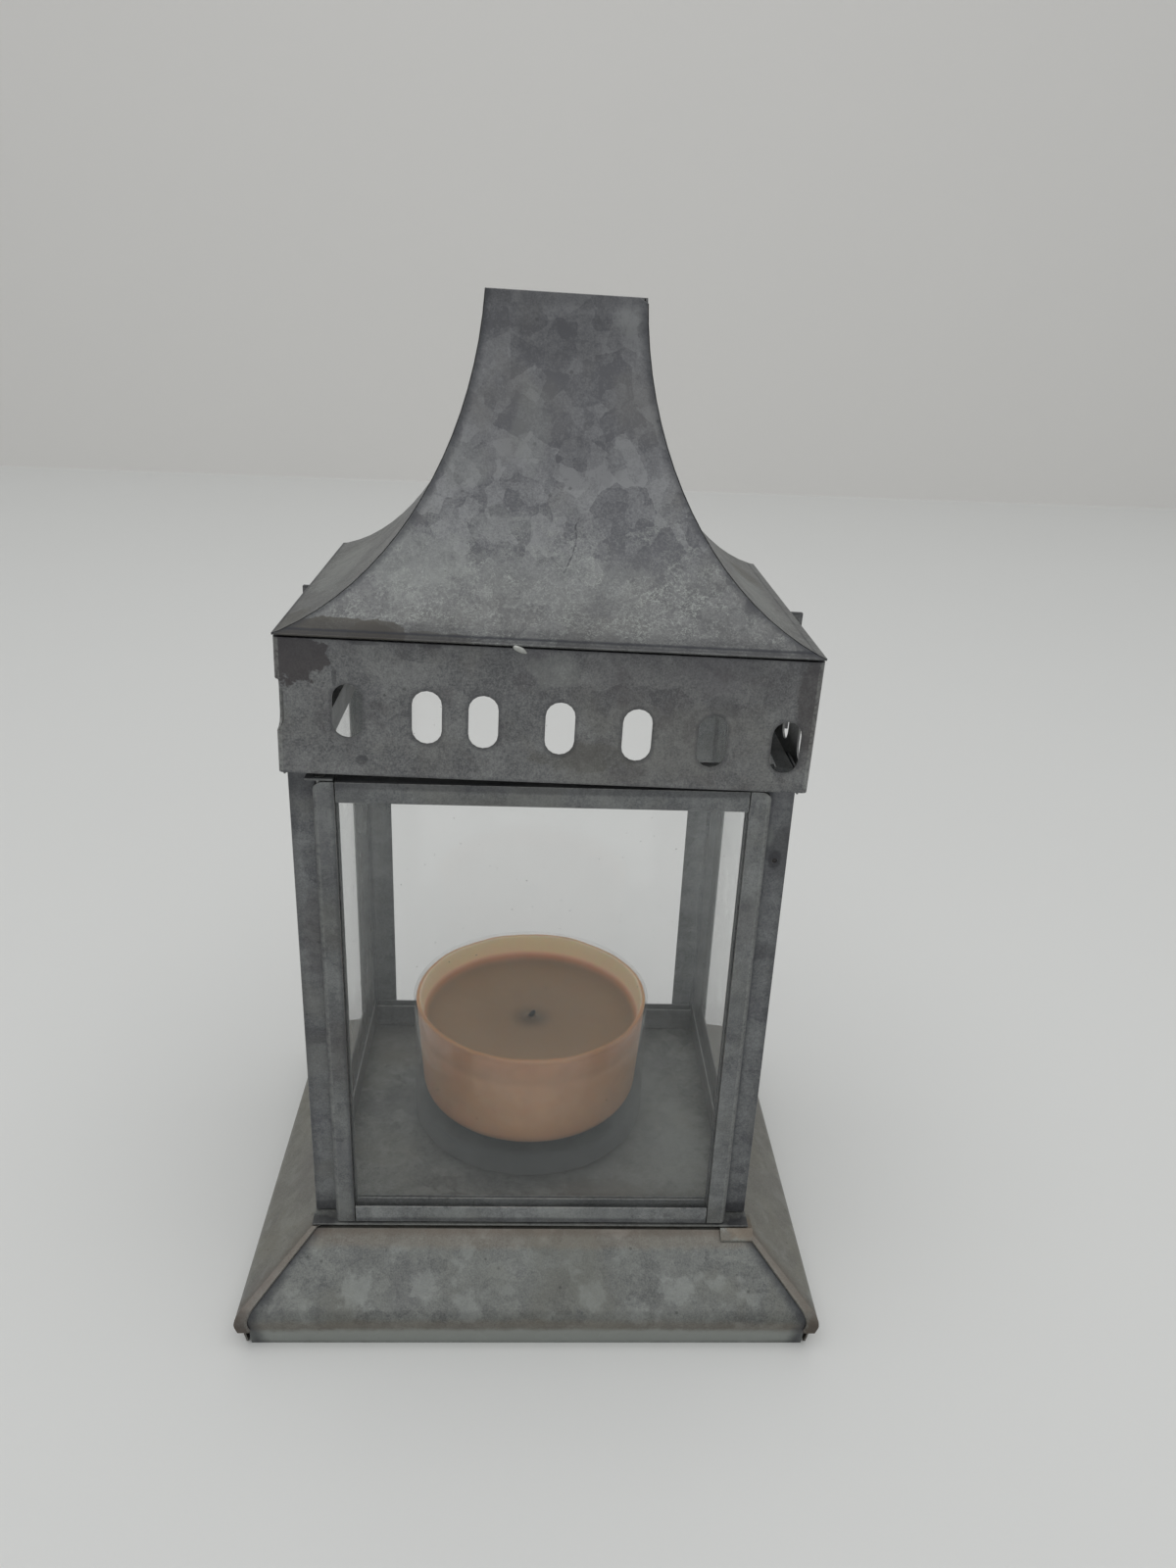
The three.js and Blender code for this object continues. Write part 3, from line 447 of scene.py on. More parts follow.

# Straight seams and creases, darkened with painted shade where shade falls along them, and in
# places with grime: a point in millimetres on the plane they lie in, that plane's direction, how
# far the darkening reaches from it in millimetres, its colour and how strong it is.
SHADED_SEAMS = {
    "roof_front": [
        ((47.8, -37.9, 0), (0.603, 0.798, 0), 1.5, SHADE, 0.7),
        ((-46.4, -38.0, 0), (-0.577, 0.817, 0), 1.0, SHADE, 0.6),
        ((0, -36.7, 149.2), (0, 1, 0), 0.55, SHADE, 0.85),
        ((0, -35.6, 149.2), (0, 1, 0), 1.60, DARK, 0.25),
        ((0, -37.5, 149.2), (0, 1, 0), 0.80, DARK, 0.50),
    ],
    "roof_back": [
        ((0, 37.2, 149.2), (0, 1, 0), 0.50, SHADE, 0.7),
    ],
    "roof_left": [
        ((-46.4, -38.0, 0), (-0.577, 0.817, 0), 0.8, SHADE, 0.4),
        ((-46.3, 0, 149.2), (1, 0, 0), 0.5, SHADE, 0.6),
    ],
    "roof_right": [
        ((47.8, -37.9, 0), (0.603, 0.798, 0), 0.8, SHADE, 0.4),
        ((46.3, 0, 149.2), (1, 0, 0), 0.5, SHADE, 0.6),
    ],
    "band_front": [
        ((0, -37.9, 148.5), (0.018, 0, 1), 1.0, SHADE, 0.6),
        ((0, -37.9, 148.0), (0.018, 0, 1), 5.5, DARK, 0.28),
        ((0, -37.9, 123.4), (0.018, 0, 1), 0.8, SHADE, 0.4),
    ],
    "band_back": [
        ((0, 38.2, 148.5), (0.018, 0, 1), 1.0, SHADE, 0.5),
        ((0, 38.2, 123.4), (0.018, 0, 1), 0.8, SHADE, 0.35),
    ],
    "skirt_front": [
        ((47.4, -39.3, 0), (0.748, 0.664, 0), 2.4, SHADE, 0.75),
        ((-47.4, -39.3, 0), (-0.748, 0.664, 0), 2.4, SHADE, 0.70),
        ((0, -38.0, 0), (0, 1, 0), 1.2, BROWN, 0.45),
    ],
    "skirt_back": [
        ((47.7, 39.5, 0), (0.748, -0.664, 0), 3.0, SHADE, 0.7),
        ((-47.7, 39.5, 0), (-0.748, -0.664, 0), 3.0, SHADE, 0.7),
    ],
    "post_front_left": [
        ((-40.9, -33.9, 0), (1, 0, 0), 1.5, SHADE, 0.75),
        ((-46.2, -33.9, 0), (1, 0, 0), 1.6, DARK, 0.3),
    ],
    "post_front_right": [
        ((41.4, -33.9, 0), (1, 0, 0), 1.5, SHADE, 0.75),
        ((46.2, -33.9, 0), (1, 0, 0), 1.6, DARK, 0.3),
    ],
    "door_stile_left": [
        ((-41.6, -37.4, 0), (1, 0, 0), 1.0, SHADE, 0.75),
        ((-37.6, -37.4, 0), (1, 0, 0), 0.8, DARK, 0.4),
    ],
    "door_stile_right": [
        ((41.6, -37.4, 0), (1, 0, 0), 1.0, SHADE, 0.75),
    ],
    "skirt_left": [
        ((-46.55, -37.8, 0), (-0.707, 0.707, 0), 3.4, BROWN, 0.45),
        ((-46.55, 37.8, 0), (-0.707, -0.707, 0), 0.9, BROWN, 0.35),
    ],
    "skirt_right": [
        ((46.55, -37.8, 0), (0.707, 0.707, 0), 3.4, BROWN, 0.5),
        ((46.55, 37.8, 0), (0.707, -0.707, 0), 0.9, BROWN, 0.35),
    ],
}

# How each sheet metal piece differs: its part, then lighter or darker, partly its own tone and
# partly painted light and shade for how brightly it is lit (the hinge ear darker under the band),
# and warmer or cooler.
SHEETS = {
    "skirt_front": ("foot", 0.93, 0.0),
    "skirt_back": ("foot", 0.98, 0.0),
    "skirt_left": ("foot", 1.29, 0.5),
    "skirt_right": ("foot", 1.22, 0.6),
    "base_deck": ("deck", 1.04, 0.3),
    "post_front_left": ("frame", 1.00, 0.0),
    "post_front_right": ("frame", 0.96, 0.0),
    "post_back_left": ("frame", 0.98, -0.3),
    "post_back_right": ("frame", 1.32, -0.2),
    "bottom_rail_left": ("frame", 0.98, 0.2),
    "bottom_rail_right": ("frame", 1.02, 0.2),
    "bottom_rail_back": ("frame", 0.94, 0.1),
    "top_rail_left": ("frame", 1.00, 0.0),
    "top_rail_right": ("frame", 1.00, 0.0),
    "top_rail_back": ("frame", 1.00, 0.0),
    "front_header": ("frame", 0.95, 0.0),
    "front_sill": ("frame", 1.05, 0.1),
    "top_rim": ("frame", 0.92, 0.0),
    "hinge_ear": ("frame", 0.70, 0.0),
    "door_stile_left": ("door", 0.90, 0.0),
    "door_stile_right": ("door", 1.00, 0.0),
    "door_rail_top": ("door", 0.95, 0.0),
    "door_rail_bottom": ("door", 1.28, 0.0),
    "band_front": ("band", 1.00, 0.0),
    "band_back": ("band", 1.02, 0.0),
    "roof_front": ("roof", 1.00, 0.0),
    "roof_back": ("roof", 1.00, 0.0),
    "roof_left": ("roof", 0.98, 0.4),
    "roof_right": ("roof", 0.99, 0.4),
    "roof_top_plate": ("roof", 0.92, 0.0),
}

# How strongly the crystal patches show on each part.
SPANGLE = {"foot": 0.6, "deck": 0.6, "frame": 0.5, "door": 0.5, "band": 0.5, "roof": 1.15}

# How bright the cut and folded edges of each part are painted: worn zinc, and a painted highlight
# along them.
BARE = {"foot": 0.35, "deck": 0.15, "frame": 0.4, "door": 0.45, "band": 0.6, "roof": 0.3}

# Panes that carry more dust than the settings say, and how many times more.
DUSTIER = {"pane_left": 1.4, "pane_right": 1.4}


def roof_shade_and_bloom(finish, base, level, leaves, warped, jagged):
    """Painted light and shade by height: lighter and calmer higher up, darker at the very top and
    much darker low down; browner and with pale crystal needles and bloom low down.

    The level is the height above the ground in metres. Gives how far the needles stand up, from
    0 to 1.
    """
    # Painted light: the upper part lighter and calmer.
    finish.paint(toned(base, 1.05, 1.05, 1.06), level.between(0.166, 0.184) * 0.24)
    # Painted shade: darker at the very top and much darker low down.
    top_shade = level.between(0.204, 0.190) * 0.11
    low_shade = level.between(0.172, 0.150) * 0.38
    finish.skin = finish.shaded(finish.skin, top_shade - low_shade + 0.905)
    lowness = level.between(0.178, 0.158)
    finish.paint(toned(base, 0.92, 0.91, 0.84), level.between(0.166, 0.152) * 0.35)
    patches = finish.cloud(4.0, 4.0, 0.65, warped).between(0.34, 0.64)
    needles = finish.threads(1.4, 0.04, jagged) * (patches * 0.7 + 0.3)
    bloom = finish.cloud(0.6, 3.0, 0.8).between(0.48, 0.62) * (patches * 0.7 + 0.3)
    kept = leaves.between(0.10, 0.55) * 0.5 + 0.5
    finish.paint(PALE, (needles * 0.62 + bloom * 0.46) * lowness * kept)
    crumbs = finish.grains(0.9, at=jagged).between(0.20, 0.06)
    picked = finish.part(finish.grains(0.9, at=jagged, output="Color"), 0).between(0.62, 0.70)
    finish.paint(toned(base, 0.44, 0.43, 0.41), crumbs * picked * (lowness * 0.6 + 0.2))
    return needles * lowness


def mark(finish, piece, speckle):
    """Lays the stains and single marks of one piece over its tint, with the painted shade along its
    seams and the painted light and shade among its marks.
    """
    fray = finish.cloud(2.6, 4.0, 0.65)
    for centre, reach, stain_and_painted_light, strength, ragged, *soft in MARKS_LIGHT_AND_SHADE.get(piece, []):
        finish.paint(stain_and_painted_light, finish.near(centre, reach, ragged, fray, *soft) * strength)
    for point, across, reach, stain_and_painted_light, strength in SHADED_SEAMS.get(piece, []):
        finish.paint(stain_and_painted_light, finish.beside(point, across, reach, fray) * strength)
    if piece == "roof_front":
        finish.paint(DARK, finish.line(CRACK, CRACK_WIDTH) * speckle.between(0.40, 0.56) * 0.7)
    if piece == "band_front":
        finish.paint(DARK, finish.round_slots(SLOT_PLACES, SLOT_HALO) * 0.42)


def zinc(piece):
    """Weathered zinc on one sheet piece: crystal patches, clouding, grain, pits and marks, with
    painted light and shade.
    """
    sheet = settings_of("lantern_sheet")
    part, share, warmth = SHEETS[piece]
    base = toned(getattr(sheet, part), share)
    # Each piece has its own stretch of the pattern.
    order = list(SHEETS).index(piece)
    finish = Finish(f"zinc_{piece}", (0.0171 * order, -0.0237 * order, 0.0119 * order))

    size = sheet.spangle / MM
    jagged = finish.bent(0.9, 0.5)
    bent = finish.bent(3.4, 1.5, jagged)
    warped = finish.bent(9.0, 6.0, jagged)
    leaves = finish.part(finish.grains(size, "F1", bent, "Color"), 0)
    flakes = finish.part(finish.grains(size * 0.48, "F1", bent, "Color"), 1)
    veils = finish.grains(size * 1.7, "SMOOTH_F1", warped, "Color", Smoothness=0.35)
    veils = finish.part(veils, 2)
    clouding = finish.cloud(size * 3.0, 4.0, 0.58)
    blotch = finish.cloud(size * 0.7, 4.0, 0.62, warped)
    speckle = finish.cloud(0.8, 3.0, 0.7)
    grain = finish.cloud(0.32, 2.0, 0.65)
    hue = finish.cloud(17.0, 3.0, 0.6, finish.bent(23.0, 14.0))

    tone = (leaves - 0.5) * 1.45 + (flakes - 0.5) * 0.95 + (veils - 0.5) * 0.65
    tone = tone + (blotch - 0.5) * 0.8
    tone = tone * (SPANGLE[part] * sheet.contrast) + (clouding - 0.5) * 1.0
    sandy = 1.35 if part == "band" else 1.0
    tone = tone + (speckle - 0.5) * (2.2 * sandy) + (grain - 0.5) * (2.6 * sandy)
    if part in ("frame", "door"):
        streaks = finish.cloud(5.0, 4.0, 0.6, finish.scaled((0.16, 0.16, 1.0)))
        lengthwise = finish.cloud(3.5, 3.0, 0.6, finish.scaled((1.0, 1.0, 0.10)))
        tone = tone + (streaks - 0.5) * 2.0 + (lengthwise - 0.5) * 1.2
    tone = (tone * 0.5 + 0.5).held()
    darkest, lightest = toned(base, 0.60, 0.60, 0.63), toned(base, 1.46, 1.47, 1.45)
    finish.skin = finish.blend(darkest, lightest, tone)
    olive = (hue.between(0.48, 0.68) * 0.45 + warmth * 0.45).held()
    finish.paint(toned(base, 1.05, 1.01, 0.90), olive * 0.8)
    violet = 0.16 if part == "roof" else 0.34
    finish.paint(toned(base, 0.95, 0.92, 0.99), hue.between(0.46, 0.30) * violet)

    pit = finish.grains(3.1)
    chosen = finish.part(finish.grains(3.1, output="Color"), 0)
    pits = pit.between(0.15, 0.05) * chosen.between(0.74, 0.82)
    finish.paint(toned(base, 0.40), pits * 0.6)

    height = (hue * 0.00028) + (leaves * 0.000010) + (veils * 0.00002)
    height = height + (speckle * 0.000014) + (grain * 0.000007) - pits * 0.00002
    rough = (clouding - 0.5) * 0.35 + (leaves - 0.5) * 0.14 + (speckle - 0.5) * 0.2
    rough = rough + sheet.roughness

    if part == "roof":
        level = finish.part(finish.place, 2)
        raised = roof_shade_and_bloom(finish, base, level, leaves, warped, jagged)
        height = height + raised * 0.00001
    if part == "band":
        mottle = finish.cloud(5.0, 4.0, 0.62).between(0.50, 0.66)
        finish.paint(PURPLE, mottle * 0.30)
        salt = finish.cloud(0.5, 3.0, 0.8).between(0.54, 0.66)
        finish.paint(PALE, salt * finish.cloud(7.0).between(0.40, 0.58) * 0.32)
    if part in ("foot", "deck"):
        haze = finish.cloud(5.5, 3.0, 0.55, warped).between(0.54, 0.68)
        finish.paint(PALE, haze * 0.30)
    mark(finish, piece, speckle)

    # The cut and folded edges, painted lighter: worn zinc, and a painted highlight along the edges.
    worn = finish.add("ShaderNodeAttribute", {"attribute_name": "cut_edge"}, output="Fac")
    worn = worn * speckle.between(0.30, 0.60) * BARE[part]
    if part == "roof":
        worn = worn * (level.between(0.1494, 0.1510) * 0.9 + 0.1)
    finish.paint(toned(sheet.cut, share), worn)
    return finish.done(Metallic=sheet.metal, Roughness=rough.held(), Normal=finish.bump(height))


def solder():
    """Bright tin solder, rumpled and a little brown where the flux burnt."""
    sheet = settings_of("lantern_sheet")
    finish = Finish("soft_solder")
    rumple = finish.cloud(0.8, 3.0, 0.6)
    burnt = finish.cloud(1.6, 2.0).between(0.50, 0.64)
    finish.skin = finish.blend(toned(sheet.cut, 1.5), toned(sheet.cut, 1.1), rumple)
    finish.paint(BROWN, burnt * 0.12)
    return finish.done(
        Metallic=0.35, Roughness=rumple * 0.3 + 0.3, Normal=finish.bump(rumple * 0.00008),
    )


def packed_dirt():
    """Painted shade for the pinhole: a dull dark crumbly plug with a few paler grains."""
    finish = Finish("packed_dirt")
    crumbs = finish.cloud(0.3, 3.0, 0.7)
    grit = finish.grains(0.35).between(0.18, 0.05)
    finish.skin = finish.blend(colour(44, 43, 45), colour(70, 67, 66), crumbs)
    finish.paint(colour(104, 100, 94), grit * 0.4)
    return finish.done(Roughness=crumbs * 0.15 + 0.8, Normal=finish.bump(crumbs * 0.00006))


def clear_glass(finish, mirror, cover, **values):
    """Glass as a thin cover that shows what is behind it: part mirror, part film or tint."""
    return finish.done(Metallic=(mirror / cover).held(), Alpha=cover, **values)


def window_glass(piece):
    """Clear pane with a thin skin of dust and specks, more of a mirror when seen edge on."""
    glass = settings_of("lantern_glass")
    order = sum(map(ord, piece))
    finish = Finish(f"glass_{piece}", (0.013 * order, 0.007 * order, 0.003 * order))
    facing = finish.add("ShaderNodeLayerWeight", None, {"Blend": 0.5}, "Facing")
    mirror = facing ** 5.0 * 0.2 + 0.03
    film = finish.cloud(14.0, 4.0, 0.6).between(0.25, 0.85) * 0.5 + 0.5
    grit = finish.grains(2.3, at=finish.bent(6.0, 3.0))
    kept = finish.part(finish.grains(2.3, at=finish.bent(6.0, 3.0), output="Color"), 0)
    specks = grit.between(0.085, 0.03) * kept.between(0.70, 0.76) * 0.4
    smear = finish.cloud(2.2, 3.0, 0.7).between(0.64, 0.78) * 0.35
    thin = (film + smear) * (glass.dust * DUSTIER.get(piece, 1.0))
    slanted = 1.0 - (1.0 - thin) ** (1.0 / (1.03 - facing))
    dust = (slanted + specks).held()
    cover = (mirror + dust).held()
    finish.skin = finish.blend(glass.pane, colour(84, 82, 78), specks.between(0.05, 0.3))
    return clear_glass(finish, mirror, cover, Roughness=(dust * 2.0 + 0.05).held())


def pressed_glass():
    """Pressed glass of the candle cup: clear, a mirror edge on, with painted shade greying its
    thick heel.
    """
    glass = settings_of("lantern_glass")
    finish = Finish("glass_candle_cup")
    facing = finish.add("ShaderNodeLayerWeight", None, {"Blend": 0.5}, "Facing")
    mirror = facing ** 4.0 * 0.35 + 0.03
    level = finish.part(finish.place, 2) - candle_centre().z
    # Painted shade: the thick heel tinted grey for the dark that the thick glass shows there.
    heel = level.between(0.0085, 0.0055)
    smoke = finish.cloud(4.0, 3.0, 0.6).between(0.45, 0.75) * 0.03
    body = (heel * 0.26 + smoke + facing ** 2.0 * 0.12).held()
    cover = (mirror + body).held()
    finish.skin = finish.blend(glass.cup, glass.heel, (body / cover).held())
    return clear_glass(finish, mirror, cover, Roughness=body * 0.2 + 0.03)


def candle_wax():
    """Peach wax, translucent at the thin standing shell, browned in the pool round the wick, with
    painted shade at its foot and a painted glow in the shell.
    """
    candle = settings_of("lantern_candle")
    wax, melted = candle.wax, candle.pool
    finish = Finish("peach_wax")
    centre = candle_centre()
    away = finish.vector("SUBTRACT", finish.place, (centre.x, centre.y, 0.0))
    radius = finish.length(finish.vector("MULTIPLY", away, (1.0, 1.0, 0.0)))
    level = finish.part(finish.place, 2)
    pool_top = (candle_level("pool") + 0.9) * MM
    front = finish.part(finish.place, 1).between(centre.y - 0.002, centre.y - 0.018)
    streaks = finish.cloud(9.0, 4.0, 0.6, finish.bent(6.0, 4.0))
    fine = finish.cloud(0.7, 3.0, 0.6)

    # The body, rosier in places, with painted shade darkening it towards its foot.
    dull, bright = toned(wax, 0.66, 0.62, 0.53), toned(wax, 0.84, 0.87, 0.79)
    finish.skin = finish.blend(dull, bright, streaks)
    rosy = finish.cloud(12.0, 2.0, 0.5).between(0.48, 0.66)
    finish.paint(toned(wax, 0.78, 0.62, 0.48), rosy * 0.45)
    low = level.between(centre.z + 0.0125, centre.z + 0.0068)
    finish.paint(toned(wax, 0.66, 0.49, 0.37), low * 0.62)

    # The standing shell: a painted glow brightens its inner wall, less in front, and its front is
    # painted browner where the pool would show through it.
    inside = level.between(pool_top + 0.0006, pool_top + 0.0024) * radius.between(0.0263, 0.0258)
    finish.paint(toned(wax, 1.42, 1.80, 2.28), inside * (0.95 - front * 0.85))
    rim = level.between(pool_top + 0.0040, pool_top + 0.0058) * front
    finish.paint(toned(melted, 1.05, 0.94, 0.82), rim * 0.75)
    seen = level.between(pool_top - 0.0016, pool_top + 0.0006) * radius.between(0.0252, 0.0258)
    finish.paint(toned(melted, 1.12, 1.0, 0.86), seen * front * 0.62)

    # The pool, with soot and specks towards the wick.
    pool = level.between(pool_top + 0.0011, pool_top) * radius.between(0.0256, 0.0236)
    pool = pool * level.between(pool_top - 0.006, pool_top - 0.003)
    soot = radius.between(0.019, 0.003) * 0.35 + finish.cloud(5.0, 4.0, 0.65) * 0.25
    brown = finish.blend(melted, toned(melted, 0.70, 0.70, 0.74), soot.held())
    finish.paint(brown, pool)
    crust = radius.between(0.0062, 0.0012) * pool
    finish.paint(colour(58, 52, 46), crust * 0.55)
    specks = finish.grains(2.6).between(0.09, 0.03) * pool
    finish.paint(colour(52, 46, 40), specks * 0.5)
    return finish.done(
        Roughness=fine * 0.15 + pool * 0.1 + 0.42,
        Subsurface_Weight=candle.glow,
        Subsurface_Radius=(1.0, 0.55, 0.34),
        Subsurface_Scale=0.0042,
        Normal=finish.bump(streaks * 0.00012 + fine * 0.000012),
    )


def charred_cotton():
    """Braided cotton wick, black and crumbly where it burnt, waxed grey lower down."""
    finish = Finish("charred_cotton")
    level = finish.part(finish.place, 2)
    braid = finish.add(
        "ShaderNodeTexWave",
        {"wave_type": "BANDS", "bands_direction": "DIAGONAL"},
        {"Vector": finish.pattern, "Scale": 900.0, "Distortion": 3.0, "Detail": 2.0},
    )
    crumbs = finish.cloud(0.35, 3.0, 0.7)
    pool = candle_level("pool")
    finish.skin = finish.blend(colour(96, 84, 70), colour(140, 124, 104), braid)
    char = finish.blend(colour(18, 17, 17), colour(52, 49, 48), crumbs)
    finish.paint(char, level.between((pool - 1.0) * MM, (pool + 1.4) * MM))
    return finish.done(
        Roughness=crumbs * 0.2 + 0.75, Normal=finish.bump(braid * 0.00012 + crumbs * 0.0002),
    )


def drawn_steel(name, shift=(0, 0, 0)):
    """Dull tinned steel with drawing lines, a few brown specks and a grey film."""
    sheet = settings_of("lantern_sheet")
    finish = Finish(name, shift, (1.0, 1.0, 0.08))
    lines = finish.cloud(0.25, 3.0, 0.6)
    film = finish.cloud(4.0, 3.0, 0.6)
    finish.skin = finish.blend(toned(sheet.wire, 0.75), toned(sheet.wire, 1.2), lines)
    finish.paint(BROWN, film.between(0.55, 0.72) * 0.5)
    return finish.done(
        Metallic=0.85, Roughness=film * 0.3 + 0.28, Normal=finish.bump(lines * 0.00001),
    )


def plain_stage(name, base, grain):
    """Matt pale surface of the stage with the faintest unevenness."""
    finish = Finish(name)
    tone = finish.cloud(160.0, 3.0, 0.5) * 0.5 + finish.cloud(grain, 2.0, 0.5) * 0.5
    finish.skin = finish.blend(toned(base, 0.985), toned(base, 1.015), tone)
    return finish.done(Roughness=tone * 0.1 + 0.6)


# The shapes

# The candle cup inside, in millimetres: its wall at the rim, and the radius of its floor and of
# the bend between the two.
CUP_WALL = 0.6
CUP_FLOOR_RADIUS = 25.4
CUP_FLOOR_BEND = 4.0

# Points nearer than this are one, in metres.
SAME_POINT = 1e-6

# Edges that turn by more than the first angle are rounded over, and those that turn by less than
# the second are shaded smooth, in degrees.
SHARP_FOLD = 38
SMOOTH_FOLD = 24

# Faces no wider than this many millimetres are the sheet's cut edges.
CUT_WIDTH = 0.43

# The drop of solder and the dark plug that paints shade into the pinhole: the middle and half the
# size, in millimetres.
DROP = ((-4.8, -37.98, 148.1), (1.35, 0.42, 0.50))
PLUG = ((43.95, -33.66, 107.0), (0.50, 0.13, 0.50))


def new_piece(mesh, name, material, body):
    """Turns a finished bmesh into an object that rides on a body of the frame."""
    data = bpy.data.meshes.new(name)
    mesh.to_mesh(data)
    mesh.free()
    data.materials.append(material)
    piece = bpy.data.objects.new(name, data)
    bpy.context.scene.collection.objects.link(piece)
    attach(piece, body)
    return piece


def body_of(node):
    """The body of the frame that a node rides on."""
    return frame["nodes"][node]["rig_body"]


def refinish(node, material):
    """Gives its finish to a node of the frame that stays in view."""
    materials = frame["nodes"][node].data.materials
    materials.clear()
    materials.append(material)


def smooth_over(mesh, angle):
    """Smooth faces, with every edge sharper than the angle left sharp."""
    for face in mesh.faces:
        face.smooth = True
    for edge in mesh.edges:
        edge.smooth = edge.is_manifold and edge.calc_face_angle() < math.radians(angle)


def sheet_piece(node):
    """A copy of a sheet metal solid with its cut edges and folds rounded over a little."""
    sheet = settings_of("lantern_sheet")
    mesh = bmesh.new()
    mesh.from_mesh(frame["nodes"][node].data)
    bmesh.ops.remove_doubles(mesh, verts=mesh.verts, dist=SAME_POINT)
    bmesh.ops.dissolve_limit(
        mesh,
        angle_limit=math.radians(0.3),
        use_dissolve_boundaries=False,
        verts=mesh.verts,
        edges=mesh.edges,
    )
    cut = mesh.faces.layers.float.new("cut_edge")
    least = math.radians(SHARP_FOLD)
    sharp = [e for e in mesh.edges if e.is_manifold and e.calc_face_angle() > least]
    if not sharp:
        raise RuntimeError(f"{node} has no sharp edges to round")
    made = bmesh.ops.bevel(
        mesh,
        geom=sharp,
        offset=sheet.rounding,
        offset_type="OFFSET",
        segments=2,
        profile=0.5,
        affect="EDGES",
        clamp_overlap=True,
        material=-1,
    )
    smooth_over(mesh, SMOOTH_FOLD)
    rounded = set(made["faces"])
    for face in rounded:
        face[cut] = 1.0
    for face in mesh.faces:
        if face.calc_area() < face.calc_perimeter() / 2 * CUT_WIDTH * MM:
            face[cut] = max(face[cut], 0.7)
    for edge in mesh.edges:
        if len(rounded.intersection(edge.link_faces)) == 1:
            edge.smooth = False
    piece = new_piece(mesh, f"{node}_sheet", zinc(node), body_of(node))
    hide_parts(node)
    return piece


def candle_centre():
    """The candle's axis, from its glass."""
    low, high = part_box("votive_glass")
    return Vector(((low.x + high.x) / 2, (low.y + high.y) / 2, low.z))


def candle_level(name):
    """Heights in the candle in millimetres above the ground: its wax's top and its pool."""
    candle = settings_of("lantern_candle")
    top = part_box("candle_wax")[1].z / MM
    return {"top": top, "pool": top - candle.shell_height / MM}[name]


def turned(profile, centre, steps):
    """Spins a closed outline of (radius, height) points in millimetres round the candle's axis."""
    mesh = bmesh.new()
    places = [(centre.x + r * MM, centre.y, centre.z + z * MM) for r, z in profile]
    points = [mesh.verts.new(place) for place in places]
    edges = [mesh.edges.new((a, b)) for a, b in zip(points, points[1:] + points[:1])]
    bmesh.ops.spin(
        mesh,
        geom=points + edges,
        cent=centre,
        axis=(0, 0, 1),
        dvec=(0, 0, 0),
        angle=math.tau,
        steps=steps,
        use_merge=True,
        use_normal_flip=False,
    )
    bmesh.ops.remove_doubles(mesh, verts=mesh.verts, dist=SAME_POINT)
    axis_edges = [e for e in mesh.edges if not e.link_faces]
    bmesh.ops.delete(mesh, geom=axis_edges, context="EDGES")
    bmesh.ops.recalc_face_normals(mesh, faces=mesh.faces)
    smooth_over(mesh, 40)
    return mesh


def bend(radius, height, reach, start, end, steps):
    """Points of an arc in the outline, from one angle to another in degrees."""
    angles = [math.radians(start + (end - start) * i / steps) for i in range(steps + 1)]
    return [(radius + reach * math.cos(a), height + reach * math.sin(a)) for a in angles]


# What a user would change

def tint(name, description, red, green, blue):
    """A colour setting, from display values of 0 to 255."""
    return FloatVectorProperty(
        name=name, description=description, subtype="COLOR", size=4,
        min=0, max=1, default=colour(red, green, blue),
    )


def factor(name, description, value, most=1):
    """A setting from 0 to most."""
    return FloatProperty(
        name=name, description=description, subtype="FACTOR", min=0, max=most, default=value,
    )


def measure(name, description, least, most, value):
    """A setting in metres."""
    return FloatProperty(
        name=name, description=description, subtype="DISTANCE", unit="LENGTH",
        min=least, max=most, default=value,
    )


class LanternSheetSettings(bpy.types.PropertyGroup):
    """Tones and wear of the zinc sheet."""

    foot: tint("Foot", "Colour of the sloped foot's zinc", 112, 114, 111)
    deck: tint("Deck", "Colour of the deck inside the lantern", 122, 124, 121)
    frame: tint("Frame", "Colour of the posts and channels", 116, 118, 119)
    door: tint("Door", "Colour of the door's channels", 115, 117, 117)
    band: tint("Band", "Colour of the slotted band", 114, 115, 115)
    roof: tint("Roof", "Colour of the curved roof panels", 118, 119, 121)
    cut: tint("Cut edges", "Colour of the worn cut edges", 150, 152, 148)
    wire: tint("Wire", "Colour of the drawn steel", 150, 150, 148)
    spangle: measure("Spangle", "Size of the zinc's crystal patches", 0.001, 0.05, 0.0056)
    contrast: factor("Contrast", "How much the crystal patches differ", 1.0, 2)
    metal: factor("Metal", "How metallic the weathered zinc still is", 0.55)
    roughness: factor("Roughness", "How dull the weathered zinc is", 0.52)
    rounding: measure("Edge rounding", "Radius of the sheet's edges", 0.00002, 0.0002, 0.00012)


cup_low, cup_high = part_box("votive_glass")


class LanternGlassSettings(bpy.types.PropertyGroup):
    """Tints and dust of the panes and the candle cup."""

    pane: tint("Pane", "Colour of what little the panes mirror and hold", 216, 220, 219)
    cup: tint("Candle cup", "Colour of the pressed glass", 243, 246, 243)
    dust: factor("Dust", "Most that the dust film covers", 0.03)
    # The heel's tint is painted shade, for the dark that the thick glass shows there.
    heel: tint("Heel", "Tint of the cup's thick heel", 92, 96, 98)
    cup_radius: measure(
        "Cup radius", "Outer radius of the candle cup at its rim",
        0.01, 0.05, (cup_high.x - cup_low.x) / 2,
    )
    cup_height: measure(
        "Cup height", "Height of the candle cup", 0.01, 0.06, cup_high.z - cup_low.z,
    )
    cup_floor: measure("Cup floor", "Thickness of the cup's clear base", 0.002, 0.02, 0.0064)
    steps: IntProperty(
        name="Steps", description="Faces once round the cup and the wax",
        min=24, max=192, default=128,
    )


